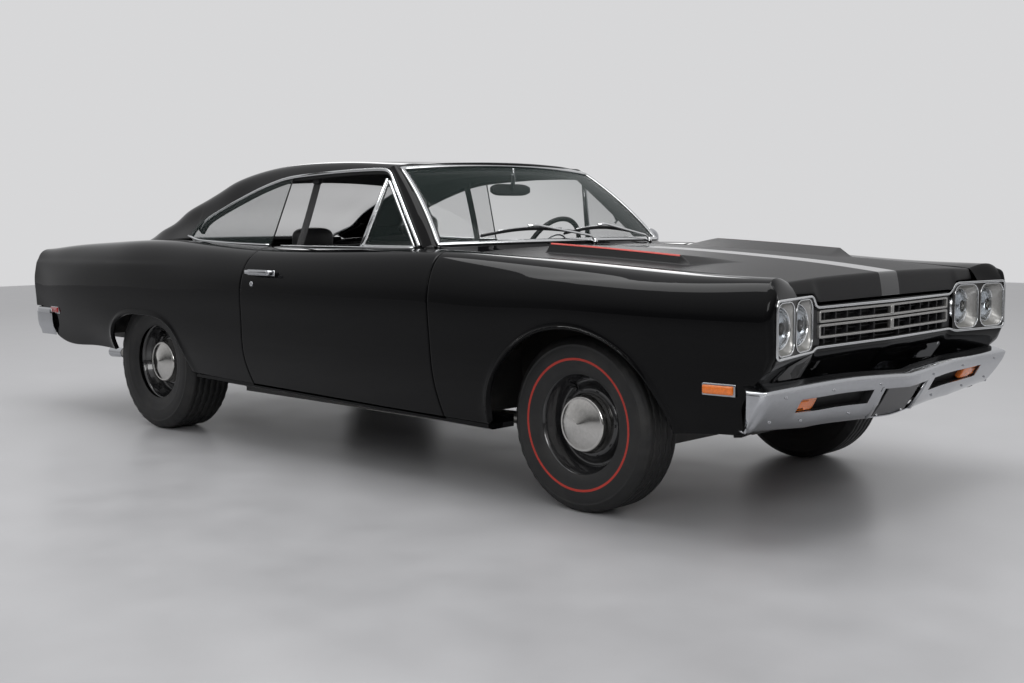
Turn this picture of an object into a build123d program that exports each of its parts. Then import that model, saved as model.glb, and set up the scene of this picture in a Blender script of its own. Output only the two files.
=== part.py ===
"""A two-door hardtop muscle car, as separate pieces with working wheels, steering, doors and lids.

Millimetres. +X points forward, +Y to the car's left, +Z up. The origin is on the ground, midway between
the foremost and rearmost points.
"""
from build123d import *
import os
from math import cos, pi, radians, sin, tan

# ---- overall sizes -------------------------------------------------------------------------------
WIDTH = 1941
WHEELBASE = 2946
FRONT_OVERHANG = 911.5
REAR_OVERHANG = 1291.5
ROOF_HEIGHT = 1385
HALF_LENGTH = (FRONT_OVERHANG + WHEELBASE + REAR_OVERHANG) / 2
HALF_WIDTH = WIDTH / 2
FRONT_AXLE_X = HALF_LENGTH - FRONT_OVERHANG
REAR_AXLE_X = -HALF_LENGTH + REAR_OVERHANG

# ---- gaps and walls ------------------------------------------------------------------------------
PANEL_GAP = 8           # round each door and lid
RUN_GAP = 0.3           # between a pin and its eye
SEAT_GAP = 0.8          # between panels that are bolted together
FENDER_WALL = 18
QUARTER_WALL = 50
SHEET = 20

# ---- wheels --------------------------------------------------------------------------------------
FRONT_TYRE_R = 334
FRONT_TYRE_W = 205
FRONT_TRACK = 1512
REAR_TYRE_R = 354
REAR_TYRE_W = 262
REAR_TRACK = 1504
RIM_SEAT_R = 190.5
RIM_FLANGE_R = 203
RIM_WALL = 7
FRONT_RIM_W = 168
REAR_RIM_W = 206
DISC_INSET = 74         # from the outer flange in to the disc face
HUB_R = 60
CAP_R = 113
CAP_HEIGHT = 52
DRUM_R = 140
DRUM_W = 56
SPINDLE_R = 17

# ---- front suspension ----------------------------------------------------------------------------
KINGPIN_Y = 665
BALL_RISE = 140         # from the wheel centre to each ball joint
ARM_THICK = 26
ARM_HALF_W = 22
EYE_HALF_W = 13.5       # half the size of the eye at each arm's outer end
RAIL_IN_Y = 370
RAIL_OUT_Y = 452
RAIL_LOW_Z = 300
RAIL_HIGH_Z = 410
RAIL_END_X = FRONT_AXLE_X + 770
CROSS_LOW_Z = 205
CROSS_HALF_X = 75

# ---- doors ---------------------------------------------------------------------------------------
DOOR_FRONT_X = FRONT_AXLE_X - 698
DOOR_REAR_X = REAR_AXLE_X + 946
REAR_EDGE_LEAN = 0.09   # the door's rear edge moves forward this much for each unit of height
LEAN_Z = 640            # height where the lean is nothing
HEM_Z = 297             # the door's bottom edge at its front
HEM_RISE = 0.016        # it climbs this much for each unit towards the tail
BELT_THICK = 55
DOOR_INSIDE_FRONT = 215 # how far behind the door's front edge its trim panel ends
DOOR_NOSE_INSET = 218   # inner limit of the door ahead of its trim panel
HINGE_BACK = 118        # hinge axis behind the door's front edge
HINGE_INSET = 30        # hinge axis inside the widest line
SWING_FREE = 58         # how far inboard of the hinge axis the door's rear face is not yet cut back
SWING_CUT = 24          # how far it is cut back 180 further inboard, so that it swings past the quarter
HINGE_HEIGHTS = (455, 790)
HINGE_TALL = 44
HINGE_PIN_R = 6
HINGE_ARM_W = 22
HINGE_LEG_Y = 216       # how far inboard of the axis the hinge's arm turns forward

# ---- body side sections --------------------------------------------------------------------------
# Each row: distance ahead of the axle, then (inset from the widest width, height) of
# the hem, the tuck, the widest line, the shoulder, the crest and the inner top edge.
FENDER_ROWS = (
    (842, (110, 377), (85, 480), (70, 650), (75, 840), (110, 886), (281, 888)),
    (537, (90, 365), (55, 480), (35, 650), (45, 845), (100, 893), (268, 906)),
    (32, (80, 290), (35, 450), (15, 650), (25, 860), (86, 921), (246, 936)),
    (-413, (85, 293), (30, 450), (8, 640), (20, 870), (76, 945), (232, 957)),
    (-690, (85, 297), (28, 450), (4, 640), (15, 880), (70, 958), (224, 968)),
)
FENDER_LEAN = 0.05      # the fender's front edge moves forward this much for each unit of height
DOOR_MIDDLE = ((85, 300), (25, 450), (0, 640), (15, 885), (70, 955), (182, 974))
QUARTER_ROWS = (
    (938, (85, 318), (26, 450), (0, 640), (15, 885), (70, 948), (180, 976)),
    (583, (85, 324), (26, 450), (0, 640), (15, 885), (70, 957), (185, 986)),
    (183, (85, 345), (28, 460), (2, 640), (20, 885), (85, 972), (225, 1000)),
    (-217, (80, 385), (35, 470), (8, 640), (25, 885), (90, 972), (260, 985)),
    (-617, (75, 405), (45, 500), (20, 650), (40, 875), (110, 956), (325, 955)),
    (-1017, (75, 435), (60, 560), (45, 680), (65, 860), (110, 929), (325, 925)),
    (-1277, (75, 600), (70, 680), (68, 780), (85, 850), (110, 906), (325, 895)),
)
FRONT_ARCH_X = FRONT_AXLE_X + 32
FRONT_ARCH_Z = 235
FRONT_ARCH_R = 468
REAR_ARCH_X = REAR_AXLE_X + 16
REAR_ARCH_Z = 250
REAR_ARCH_HALF = 385
REAR_ARCH_RISE = 362
REAR_ARCH_POWER = 3.1   # 2 is an ellipse, more is squarer
ARCH_STEPS = 22

# ---- hood and trunk lid --------------------------------------------------------------------------
LID_THICK = 24
LID_PIN_R = 4
LID_PIN_DEPTH = 9       # below the skin
LUG_THICK = 8
HOOD_FRONT_X = FRONT_AXLE_X + 812
HOOD_REAR_X = FRONT_AXLE_X - 655
# Each row: distance ahead of the front axle, height at the edge, height at the centre.
HOOD_ROWS = ((812, 884, 893), (600, 902, 924), (250, 922, 950), (-200, 944, 974), (-649, 964, 986),
             (-655, 958, 980))
# Each row: distance ahead of the front axle, outer inset from the hood's edge, width, height over the hood.
SCOOP_ROWS = ((-400, 160, 238, 36), (-388, 156, 242, 40), (248, 138, 238, 42), (560, 190, 150, 2))
TRUNK_FRONT_X = REAR_AXLE_X - 437
TRUNK_REAR_X = REAR_AXLE_X - 1258
# Each row: distance ahead of the rear axle, height at the edge, height at the centre.
TRUNK_ROWS = ((-437, 952, 952), (-443, 958, 958), (-617, 951, 963), (-1017, 921, 940), (-1258, 899, 914))

# ---- greenhouse ----------------------------------------------------------------------------------
# Rails and rear roof sides, front to rear: place, lower outer inset and height, upper outer inset and drop
# below the roof's top. The place is ahead of the front axle for the first three, else of the rear axle.
RAIL_ROWS = (
    (FRONT_AXLE_X - 1238, 348, 1318, 385, 42),
    (FRONT_AXLE_X - 1563, 325, 1324, 370, 21),
    (FRONT_AXLE_X - 1913, 315, 1310, 365, 15),
    (REAR_AXLE_X + 783, 315, 1278, 370, 29),
    (REAR_AXLE_X + 583, 308, 1222, 370, 57),
    (REAR_AXLE_X + 383, 295, 1155, 365, 107),
    (REAR_AXLE_X + 243, 275, 1106, 358, 157),
    (REAR_AXLE_X + 188, 225, 1000, 352, 179),
    (REAR_AXLE_X - 17, 243, 992, 335, 254),
    (REAR_AXLE_X - 197, 259, 986, 305, 342),
    (REAR_AXLE_X - 345, 281, 975, 325, 392),
)
RAIL_FOOT = 12                                  # how far the rail's foot laps below the quarter's edge
RAIL_THICK = 45
RAIL_TOP_THICK = 28
# Roof skin: place, inset of its edge, drop of its edge, drop of its centre.
ROOF_ROWS = (
    (FRONT_AXLE_X - 1150, 400, 46, 30),
    (FRONT_AXLE_X - 1238, 385, 42, 22),
    (FRONT_AXLE_X - 1563, 370, 21, 5),
    (FRONT_AXLE_X - 1913, 365, 15, 0),
    (REAR_AXLE_X + 783, 370, 29, 6),
    (REAR_AXLE_X + 583, 370, 57, 24),
    (REAR_AXLE_X + 433, 368, 93, 54),
)
ROOF_THICK = 26
PILLAR_BASE = (FRONT_AXLE_X - 868, 226, 980)    # place, inset, height of the windshield pillar's foot
PILLAR_HEAD = (FRONT_AXLE_X - 1238, 350, 1330)
PILLAR_LONG = 62
PILLAR_WIDE = 42
GLASS = 6
DECK_Z = 984
DECK_FRONT_X = REAR_AXLE_X - 330
GLASS_BASE_X = FRONT_AXLE_X - 800               # foot of the windshield at its centre
COWL_REAR_X = FRONT_AXLE_X - 868
COWL_TOP_Z = 958

# ---- floor and structure -------------------------------------------------------------------------
FLOOR_Z = 265
FIREWALL_X = FRONT_AXLE_X - 663
FLOOR_HALF_W = HALF_WIDTH - 175
REAR_FLOOR_HALF_W = 560
TUNNEL_HALF_W = 150
TUNNEL_TOP_Z = 420
SILL_TALL = 25          # what shows of the sill under the hem
SILL_STEP = 22          # how far its step stands over the hem
SILL_OUT_INSET = 90
SILL_STEP_INSET = 200
SILL_LAP = 60
KICK_Y = 685            # outer face of the kick panels beside the toe board
TOE_HALF_W = 668
TUB_R = 418
TUB_WALL = 14
REAR_RAIL_IN_Y = 465
REAR_RAIL_OUT_Y = 515
SPRING_Y = 556
KINGPIN_R = 8
SPRING_W = 60
AXLE_TUBE_R = 38
DIFF_R = 140

# ---- nose and tail -------------------------------------------------------------------------------
GRILLE_HALF_W = 505
GRILLE_LOW_Z = 650
GRILLE_HIGH_Z = 792
GRILLE_X = FRONT_AXLE_X + 800                   # front of the surround at its ends
GRILLE_BOW = 18                                 # how far the centre stands forward of the ends
LAMP_R = 68
LAMP_Z = 735
LAMP_YS = (620, 787)
BEZEL_IN_Y = 532
BEZEL_OUT_INSET = 104
BEZEL_LOW_Z = 640
BEZEL_HIGH_Z = 833
BEZEL_LEAD = 66                                 # the outer end stands this far ahead of the inner end
BEZEL_BACK_X = FRONT_AXLE_X + 740
BUMPER_LOW_Z = 385
BUMPER_HIGH_Z = 528
BUMPER_CREASE_Z = 508
BUMPER_TUCK = 78
BUMPER_WALL = 16
SLOT_IN_Y = 345
SLOT_OUT_Y = 785
SLOT_LOW_Z = 448
SLOT_HIGH_Z = 489
IRON_IN_Y = 372
IRON_OUT_Y = 432
PLATE_SPACING = 177.8
PLATE_HOLE_R = 3.5
REAR_BUMPER_LOW_Z = 440
REAR_BUMPER_HIGH_Z = 598

# ---- cabin ---------------------------------------------------------------------------------------
WHEEL_X = FRONT_AXLE_X - 1243                   # steering wheel's centre
WHEEL_Y = 372
WHEEL_Z = 925
WHEEL_RIM_R = 190
WHEEL_RIM_TUBE = 13
COLUMN_TILT = 25                                # degrees above level
COLUMN_R = 24
SEAT_FRONT_X = FRONT_AXLE_X - 1560
SEAT_DEPTH = 560
SEAT_LOW_Z = TUNNEL_TOP_Z + 5
SEAT_TOP_Z = 560
SEAT_BACK_TOP_Z = 960


# ---- shape helpers -------------------------------------------------------------------------------
def place(along, at, a, b):
    """The point at a distance along one axis, with a and b on the other two, in X, Y, Z order."""
    if along == "x":
        return Vector(at, a, b)
    if along == "y":
        return Vector(a, at, b)
    return Vector(a, b, at)


def slab(along, low, high, outline):
    """A straight prism of an outline, from low to high along an axis."""
    wire = Wire.make_polygon([place(along, low, a, b) for a, b in outline], close=True)
    return Solid.extrude(Face(wire), place(along, high - low, 0, 0))


def block(x0, x1, y0, y1, z0, z1):
    """A box between two corners."""
    return slab("z", z0, z1, ((x0, y0), (x1, y0), (x1, y1), (x0, y1)))


def ruled(along, sections):
    """A solid with straight lines between outlines that have equal numbers of points."""
    wires = []
    for at, outline in sections:
        wires.append(Wire.make_polygon([place(along, at, a, b) for a, b in outline], close=True))
    return Solid.make_loft(wires, True)


def through(wires):
    """A ruled solid through closed wires."""
    return Solid.make_loft(wires, True)


def rod(start, end, radius):
    """A round bar between two points."""
    start, end = Vector(*start), Vector(*end)
    return Solid.make_cylinder(radius, (end - start).length, Plane(start, z_dir=end - start))


def turned(x, y, z, outline):
    """A body of revolution about an axis along Y. The outline holds (offset along Y, radius)."""
    wire = Wire.make_polygon([Vector(x + r, y + dy, z) for dy, r in outline], close=True)
    return Solid.revolve(Face(wire), 360, Axis((x, y, z), (0, 1, 0)))


def both(shape):
    """A shape of the left side and its mirror image."""
    return [shape, shape.mirror(Plane.XZ)]


def join(shapes):
    """One shape from many that touch."""
    result = shapes[0]
    for shape in shapes[1:]:
        result = result.fuse(shape)
    return result


def tube(points, radii, radius):
    """A round pipe along straight runs and arcs."""
    path = FilletPolyline(*points, radius=radii)
    start = Plane(points[0], z_dir=Vector(*points[1]) - Vector(*points[0]))
    return sweep(start * Circle(radius), path=path)


parts = {}


def keep(name, shapes):
    """Store a node's solids under its name."""
    shapes = shapes if isinstance(shapes, list) else [shapes]
    parts[name] = [solid for shape in shapes for solid in shape.solids()]


# ---- body sides ----------------------------------------------------------------------------------
def side_points(row, wall, top_wall):
    """A closed section of a body side: its six outer lines, then the inner face."""
    outer = [(HALF_WIDTH - inset, z) for inset, z in row]
    (y0, z0), (y1, z1), (y2, z2), (y3, z3), (y4, z4), (y5, z5) = outer
    inner = [(y5, z5 - top_wall), (y4 - wall / 2, z4 - top_wall), (y3 - wall, z3 - top_wall / 2)]
    inner += [(y2 - wall, z2), (y1 - wall, z1), (y0 - wall, z0)]
    return outer + inner


def side_wire(x, points, lean):
    """A section's wire, whose plane may lean along the car."""
    return Wire.make_polygon([Vector(x + lean * (z - LEAN_Z), y, z) for y, z in points], close=True)


def front_arch(grow=0):
    """The space inside the front wheel arch, on the left."""
    start = (FRONT_ARCH_X, HALF_WIDTH - 380, FRONT_ARCH_Z)
    return rod(start, (FRONT_ARCH_X, HALF_WIDTH + 60, FRONT_ARCH_Z), FRONT_ARCH_R + grow)


def rear_arch_outline():
    """The rear wheel arch, a squared-off ellipse with its foot carried down past the hem."""
    points = [(REAR_ARCH_X + REAR_ARCH_HALF, REAR_ARCH_Z - 100)]
    for step in range(ARCH_STEPS + 1):
        angle = pi * step / ARCH_STEPS
        c, s = cos(angle), sin(angle)
        across = abs(c) ** (2 / REAR_ARCH_POWER) * (1 if c > 0 else -1)
        points.append((REAR_ARCH_X + REAR_ARCH_HALF * across,
                       REAR_ARCH_Z + REAR_ARCH_RISE * s ** (2 / REAR_ARCH_POWER)))
    points.append((REAR_ARCH_X - REAR_ARCH_HALF, REAR_ARCH_Z - 100))
    return points


def fender():
    """The left front fender."""
    wires = []
    for ahead, *row in FENDER_ROWS:
        lean = FENDER_LEAN if ahead == FENDER_ROWS[0][0] else 0
        points = side_points(row, FENDER_WALL, FENDER_WALL)
        wires.append(side_wire(FRONT_AXLE_X + ahead, points, lean))
    return through(wires).cut(front_arch())


def quarter():
    """The left quarter panel, from the door to the tail."""
    wires = []
    for ahead, *row in QUARTER_ROWS:
        lean = REAR_EDGE_LEAN if ahead == QUARTER_ROWS[0][0] else 0
        wires.append(side_wire(REAR_AXLE_X + ahead, side_points(row, QUARTER_WALL, 25), lean))
    arch = slab("y", HALF_WIDTH - 250, HALF_WIDTH + 50, rear_arch_outline())
    bumper_space = block(-HALF_LENGTH - 10, REAR_AXLE_X - 1022, HALF_WIDTH - 200, HALF_WIDTH, 0, REAR_BUMPER_HIGH_Z + 4)
    return through(wires).cut(arch).cut(bumper_space)


def hem_z(x):
    """Height of the lower edge of the door and of the panels in line with it."""
    return HEM_Z + HEM_RISE * (DOOR_FRONT_X - x)


def door_points(x, row):
    """A closed section of the door, from its skin to its trim panel."""
    outer = [(HALF_WIDTH - inset, z) for inset, z in row]
    hem_y = outer[0][0]
    outer[0] = (hem_y, hem_z(x))
    belt_y, belt_z = outer[-1]
    trim_y = belt_y - BELT_THICK
    return outer + [(trim_y, belt_z), (trim_y + 8, 640), (trim_y + 25, 420), (hem_y - 75, hem_z(x) + 45),
                    (hem_y - 40, hem_z(x))]


HINGE_X = DOOR_FRONT_X - HINGE_BACK
HINGE_Y = HALF_WIDTH - HINGE_INSET


def hinge_pocket(z):
    """The space in the door that a hinge's arm swings through."""
    front = DOOR_FRONT_X + 5
    inner = HINGE_Y - HINGE_LEG_Y - 30
    back = HINGE_X - HINGE_ARM_W / 2 - 8
    outline = ((back, HINGE_Y + 15), (HINGE_X + 14, HINGE_Y + 15), (front, HINGE_Y - 27),
               (front, inner), (back, inner))
    return slab("z", z - HINGE_TALL / 2 - 6, z + HINGE_TALL / 2 + 6, outline)


def hinge_arm(z):
    """The body's half of a door hinge: an eye on the pin, an arm inboard and a leg forward to the post."""
    low, high = z - HINGE_TALL / 2, z + HINGE_TALL / 2
    half = HINGE_ARM_W / 2
    leg_y = HINGE_Y - HINGE_LEG_Y
    eye = rod((HINGE_X, HINGE_Y, low), (HINGE_X, HINGE_Y, high), HINGE_PIN_R + 5)
    arm = block(HINGE_X - half, HINGE_X + half, leg_y, HINGE_Y, low, high)
    leg = block(HINGE_X - half, FIREWALL_X - SHEET, leg_y - 12, leg_y + 10, low, high)
    bore = rod((HINGE_X, HINGE_Y, low - 1), (HINGE_X, HINGE_Y, high + 1), HINGE_PIN_R + RUN_GAP)
    return join([eye, arm, leg]).cut(bore)


def door():
    """The left door."""
    middle_x = (DOOR_FRONT_X + DOOR_REAR_X) / 2
    front = side_wire(DOOR_FRONT_X, door_points(DOOR_FRONT_X, FENDER_ROWS[-1][1:]), 0)
    middle = side_wire(middle_x, door_points(middle_x, DOOR_MIDDLE), 0)
    rear = side_wire(DOOR_REAR_X, door_points(DOOR_REAR_X, QUARTER_ROWS[0][1:]), REAR_EDGE_LEAN)
    nose = block(DOOR_FRONT_X - DOOR_INSIDE_FRONT, DOOR_FRONT_X + 5, 0, HALF_WIDTH - DOOR_NOSE_INSET, 0, ROOF_HEIGHT)
    edge_y = HINGE_Y - SWING_FREE
    wedge = []
    for z in (0, ROOF_HEIGHT):
        edge_x = DOOR_REAR_X + REAR_EDGE_LEAN * (z - LEAN_Z)
        wedge.append(Wire.make_polygon([Vector(edge_x - 60, edge_y, z), Vector(edge_x, edge_y, z),
                                        Vector(edge_x + SWING_CUT, edge_y - 180, z),
                                        Vector(edge_x - 60, edge_y - 180, z)], close=True))
    shape = through([front, middle, rear]).cut(nose).cut(through(wedge))
    for z in HINGE_HEIGHTS:
        shape = shape.cut(hinge_pocket(z))
        half = HINGE_TALL / 2 + 12
        shape = shape.fuse(rod((HINGE_X, HINGE_Y, z - half), (HINGE_X, HINGE_Y, z + half), HINGE_PIN_R))
    return shape


def vent_window():
    """The fixed triangular pane and its frame at the door's front top corner, on the left."""
    base_x, base_inset, base_z = PILLAR_BASE
    head_x, head_inset, head_z = PILLAR_HEAD
    belt_z = DOOR_MIDDLE[-1][1]
    clear = 14
    outline = ((base_x - PILLAR_LONG / 2 - clear, belt_z), (head_x - PILLAR_LONG / 2 - clear, head_z - 34),
               (head_x - 105, head_z - 34), (head_x - 105, belt_z))
    foot_y = HALF_WIDTH - base_inset + 6
    head_y = HALF_WIDTH - head_inset + 4
    wires = []
    for out in (0, -16):
        points = []
        for x, z in outline:
            y = foot_y + (head_y - foot_y) * (z - belt_z) / (head_z - 34 - belt_z)
            points.append(Vector(x, y + out, z))
        wires.append(Wire.make_polygon(points, close=True))
    return through(wires)


left_fender = fender()
keep("fender_left", left_fender)
keep("fender_right", left_fender.mirror(Plane.XZ))
left_quarter = quarter()
keep("quarter_panel_left", left_quarter)
keep("quarter_panel_right", left_quarter.mirror(Plane.XZ))
left_door = door()
keep("door_left", left_door)
keep("door_right", left_door.mirror(Plane.XZ))


def side_mirror():
    """The driver's mirror: a head on a foot that stands on the left door."""
    x, y = DOOR_FRONT_X - 330, HALF_WIDTH - 62
    head = block(x - 18, x + 14, y - 52, y + 52, 986, 1072)
    foot = block(x - 12, x + 26, y - 26, y - 2, 950, 987)
    return join([head, foot]).cut(left_door)


keep("side_mirror", side_mirror())
left_vent = vent_window()
keep("vent_window_left", left_vent)
keep("vent_window_right", left_vent.mirror(Plane.XZ))


# ---- hood and trunk lid --------------------------------------------------------------------------
def edge_inset(ahead):
    """Inset of the fender's inner top edge at a place ahead of the front axle."""
    rows = [(row[0], row[-1][0]) for row in FENDER_ROWS]
    for (x0, a), (x1, b) in zip(rows, rows[1:]):
        if ahead >= x1:
            return a + (b - a) * (x0 - ahead) / (x0 - x1)
    return rows[-1][1]


def hood_half_width(ahead):
    """Half the hood's width at a place ahead of the front axle."""
    return HALF_WIDTH - edge_inset(ahead) - PANEL_GAP


def lid_outline(half, edge_z, centre_z):
    """A crowned plate's section across the car."""
    rise = centre_z - edge_z
    top = [(0, centre_z), (half * 0.55, edge_z + rise * 0.7), (half, edge_z)]
    under = [(half, edge_z - LID_THICK), (half * 0.55, edge_z + rise * 0.7 - LID_THICK), (0, centre_z - LID_THICK)]
    left = top + under
    right = [(-y, z) for y, z in reversed(left) if y > 0]
    return left + right


def hood_height(ahead, y):
    """Height of the hood's skin."""
    for (x0, e0, c0), (x1, e1, c1) in zip(HOOD_ROWS, HOOD_ROWS[1:]):
        if ahead >= x1:
            share = (x0 - ahead) / (x0 - x1)
            edge, centre = e0 + (e1 - e0) * share, c0 + (c1 - c0) * share
            half = hood_half_width(ahead)
            knee = half * 0.55
            knee_z = edge + (centre - edge) * 0.7
            if abs(y) < knee:
                return centre + (knee_z - centre) * abs(y) / knee
            return knee_z + (edge - knee_z) * (abs(y) - knee) / (half - knee)
    return HOOD_ROWS[-1][2]


def scoop():
    """The left raised scoop of the hood."""
    sections = []
    for ahead, inset, width, rise in SCOOP_ROWS:
        outer = hood_half_width(ahead) - inset
        inner = outer - width
        top = hood_height(ahead, outer) + rise
        base_out = hood_height(ahead, outer) - LID_THICK / 2
        base_in = hood_height(ahead, inner) - LID_THICK / 2
        sections.append((FRONT_AXLE_X + ahead, [(inner, base_in), (inner + 14, top + rise * 0.1), (outer - 8, top),
                                                (outer, top - 6), (outer, base_out)]))
    return ruled("x", sections)


HOOD_PIN_Y = hood_half_width(-655) - 30
HOOD_PIN_X = HOOD_REAR_X + LID_PIN_DEPTH
HOOD_PIN_Z = HOOD_ROWS[-2][1] - LID_PIN_DEPTH
TRUNK_HALF_W = HALF_WIDTH - QUARTER_ROWS[4][-1][0] - PANEL_GAP
TRUNK_PIN_Y = TRUNK_HALF_W - 30
TRUNK_PIN_X = TRUNK_FRONT_X - LID_PIN_DEPTH
TRUNK_PIN_Z = TRUNK_ROWS[1][1] - LID_PIN_DEPTH


def lid_slots(shape, pin_x, pin_y, pin_z, away):
    """Cuts the slots for the hinge ears in a lid and puts a pin across each. The body lies at +away."""
    for side in (-1, 1):
        y = side * pin_y
        half = LUG_THICK / 2 + 2
        low, high = sorted((pin_x + away * 40, pin_x - away * (LID_PIN_DEPTH + 1)))
        shape = shape.cut(block(low, high, y - half, y + half, pin_z - 40, pin_z + LID_PIN_R + 2.5))
        shape = shape.fuse(rod((pin_x, y - half - 4, pin_z), (pin_x, y + half + 4, pin_z), LID_PIN_R))
    return shape


def lid_ear(pin_x, pin_y, pin_z, foot_z):
    """A hinge ear on the left: a plate with an eye round the lid's pin."""
    y0, y1 = pin_y - LUG_THICK / 2, pin_y + LUG_THICK / 2
    eye = rod((pin_x, y0, pin_z), (pin_x, y1, pin_z), LID_PIN_R + 2.2)
    stem = block(pin_x - 6, pin_x + 6, y0, y1, foot_z, pin_z)
    bore = rod((pin_x, y0 - 1, pin_z), (pin_x, y1 + 1, pin_z), LID_PIN_R + RUN_GAP)
    return join([eye, stem]).cut(bore)


def hood():
    """The hood with its two scoops."""
    sections = []
    for ahead, edge_z, centre_z in HOOD_ROWS:
        sections.append((FRONT_AXLE_X + ahead, lid_outline(hood_half_width(ahead), edge_z, centre_z)))
    shape = ruled("x", sections)
    left_scoop = scoop()
    shape = join([shape, left_scoop, left_scoop.mirror(Plane.XZ)])
    return lid_slots(shape, HOOD_PIN_X, HOOD_PIN_Y, HOOD_PIN_Z, -1)


def trunk_lid():
    """The trunk lid, with a straight front edge."""
    sections = []
    for ahead, edge_z, centre_z in TRUNK_ROWS:
        sections.append((REAR_AXLE_X + ahead, lid_outline(TRUNK_HALF_W, edge_z, centre_z)))
    return lid_slots(ruled("x", sections), TRUNK_PIN_X, TRUNK_PIN_Y, TRUNK_PIN_Z, 1)


keep("hood", hood())
keep("trunk_lid", trunk_lid())


# ---- greenhouse ----------------------------------------------------------------------------------
def side_rail():
    """The left roof rail, which broadens into the rear roof side."""
    sections = []
    for x, low_inset, low_z, top_inset, top_drop in RAIL_ROWS:
        if x < REAR_AXLE_X + 200:
            low_z -= RAIL_FOOT
        low_y, top_y = HALF_WIDTH - low_inset, HALF_WIDTH - top_inset
        top_z = ROOF_HEIGHT - top_drop
        inner_top = top_z - RAIL_TOP_THICK if top_z - low_z > 2 * RAIL_TOP_THICK else low_z + 2
        sections.append((x, [(low_y, low_z), (top_y, top_z), (top_y - RAIL_THICK, inner_top),
                             (low_y - RAIL_THICK, low_z)]))
    return ruled("x", sections)


def roof_skin():
    """The crowned roof panel."""
    sections = []
    for x, edge_inset_y, edge_drop, centre_drop in ROOF_ROWS:
        half = HALF_WIDTH - edge_inset_y
        edge_z, centre_z = ROOF_HEIGHT - edge_drop, ROOF_HEIGHT - centre_drop
        knee_z = edge_z + (centre_z - edge_z) * 0.7
        left = [(0, centre_z), (half * 0.6, knee_z), (half, edge_z), (half, edge_z - ROOF_THICK),
                (half * 0.6, knee_z - ROOF_THICK), (0, centre_z - ROOF_THICK)]
        right = [(-y, z) for y, z in reversed(left) if y > 0]
        sections.append((x, left + right))
    return ruled("x", sections)


def windshield_pillar():
    """The left windshield pillar."""
    sections = []
    for x, inset, z in (PILLAR_BASE, PILLAR_HEAD):
        y = HALF_WIDTH - inset
        sections.append((z, [(x - PILLAR_LONG / 2, y), (x + PILLAR_LONG / 2, y - 16),
                             (x + PILLAR_LONG / 2, y - PILLAR_WIDE), (x - PILLAR_LONG / 2, y - PILLAR_WIDE)]))
    base_x, inset, base_z = PILLAR_BASE
    out_y = HALF_WIDTH - inset - PILLAR_WIDE + 5
    foot = block(base_x - PILLAR_LONG / 2, base_x + 2, TOE_HALF_W + 5, out_y, COWL_TOP_Z + 14, base_z + 8)
    return join([ruled("z", sections), foot])


def deck():
    """The panel between the rear window and the trunk lid, with the lid's hinge ears."""
    half = HALF_WIDTH - QUARTER_ROWS[4][-1][0]
    rear_x = TRUNK_FRONT_X + PANEL_GAP
    top_z = TRUNK_ROWS[1][1]
    outline = ((DECK_FRONT_X, DECK_Z), (rear_x, top_z), (rear_x, top_z - 32), (rear_x - 50, top_z - 64),
               (rear_x - 50, top_z - 84), (rear_x + 10, top_z - 50), (DECK_FRONT_X, DECK_Z - 40))
    panel = slab("y", -half, half, outline)
    ear = lid_ear(TRUNK_PIN_X, TRUNK_PIN_Y, TRUNK_PIN_Z, top_z - 60)
    return join([panel] + both(ear))


def roof():
    """The roof, its rails and pillars and the rear deck panel."""
    rail = side_rail()
    pillar = windshield_pillar()
    return join([roof_skin()] + both(rail) + both(pillar) + [deck()])


def pane(low_z, low_line, high_z, high_line, thick):
    """A bowed pane between two level lines of (X, Y), thick along X."""
    sections = []
    for z, line in ((low_z, low_line), (high_z, high_line)):
        sections.append((z, list(line) + [(x - thick, y) for x, y in reversed(line)]))
    return ruled("z", sections)


keep("roof", roof())


def windshield():
    """The windshield, bowed forward at its centre."""
    base_x, base_inset, base_z = PILLAR_BASE
    head_x, head_inset, head_z = PILLAR_HEAD
    lines = []
    for edge_x, half, centre_x in (
            (base_x + 22, HALF_WIDTH - base_inset - PILLAR_WIDE, GLASS_BASE_X + 26),
            (head_x + 16, HALF_WIDTH - head_inset - PILLAR_WIDE, head_x + 92)):
        lines.append(((edge_x, half), (centre_x, half * 0.4), (centre_x, -half * 0.4), (edge_x, -half)))
    return pane(COWL_TOP_Z + 22, lines[0], head_z - 18, lines[1], GLASS * 1.5)


def rear_window():
    """The rear window, between the roof sides."""
    foot_half = HALF_WIDTH - RAIL_ROWS[-2][3] - RAIL_THICK - 6
    head_half = HALF_WIDTH - ROOF_ROWS[-1][1] - RAIL_THICK - 8
    foot_x, head_x = DECK_FRONT_X - 4, ROOF_ROWS[-1][0] - 28
    foot = ((foot_x + 60, foot_half), (foot_x, foot_half * 0.4), (foot_x, -foot_half * 0.4), (foot_x + 60, -foot_half))
    head = ((head_x, head_half), (head_x - 20, head_half * 0.4), (head_x - 20, -head_half * 0.4), (head_x, -head_half))
    return pane(DECK_Z + 1, foot, ROOF_HEIGHT - 70, head, -GLASS * 2)


def quarter_glass():
    """The left rear side pane, raised, from its sloping front edge to the tip of the opening."""
    low_z, high_z = 992, 1299.4
    outline = ((REAR_AXLE_X + 848, low_z), (REAR_AXLE_X + 243, low_z + 12), (REAR_AXLE_X + 258, 1098),
               (REAR_AXLE_X + 390, 1148), (REAR_AXLE_X + 590, 1215), (REAR_AXLE_X + 785, 1270),
               (REAR_AXLE_X + 955, high_z))
    foot_y, head_y = HALF_WIDTH - 196 - 24, HALF_WIDTH - 315 - 12
    wires = []
    for out in (0, -GLASS):
        points = []
        for x, z in outline:
            y = foot_y + (head_y - foot_y) * (z - low_z) / (high_z - low_z)
            points.append(Vector(x, y + out, z))
        wires.append(Wire.make_polygon(points, close=True))
    return through(wires)


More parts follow.
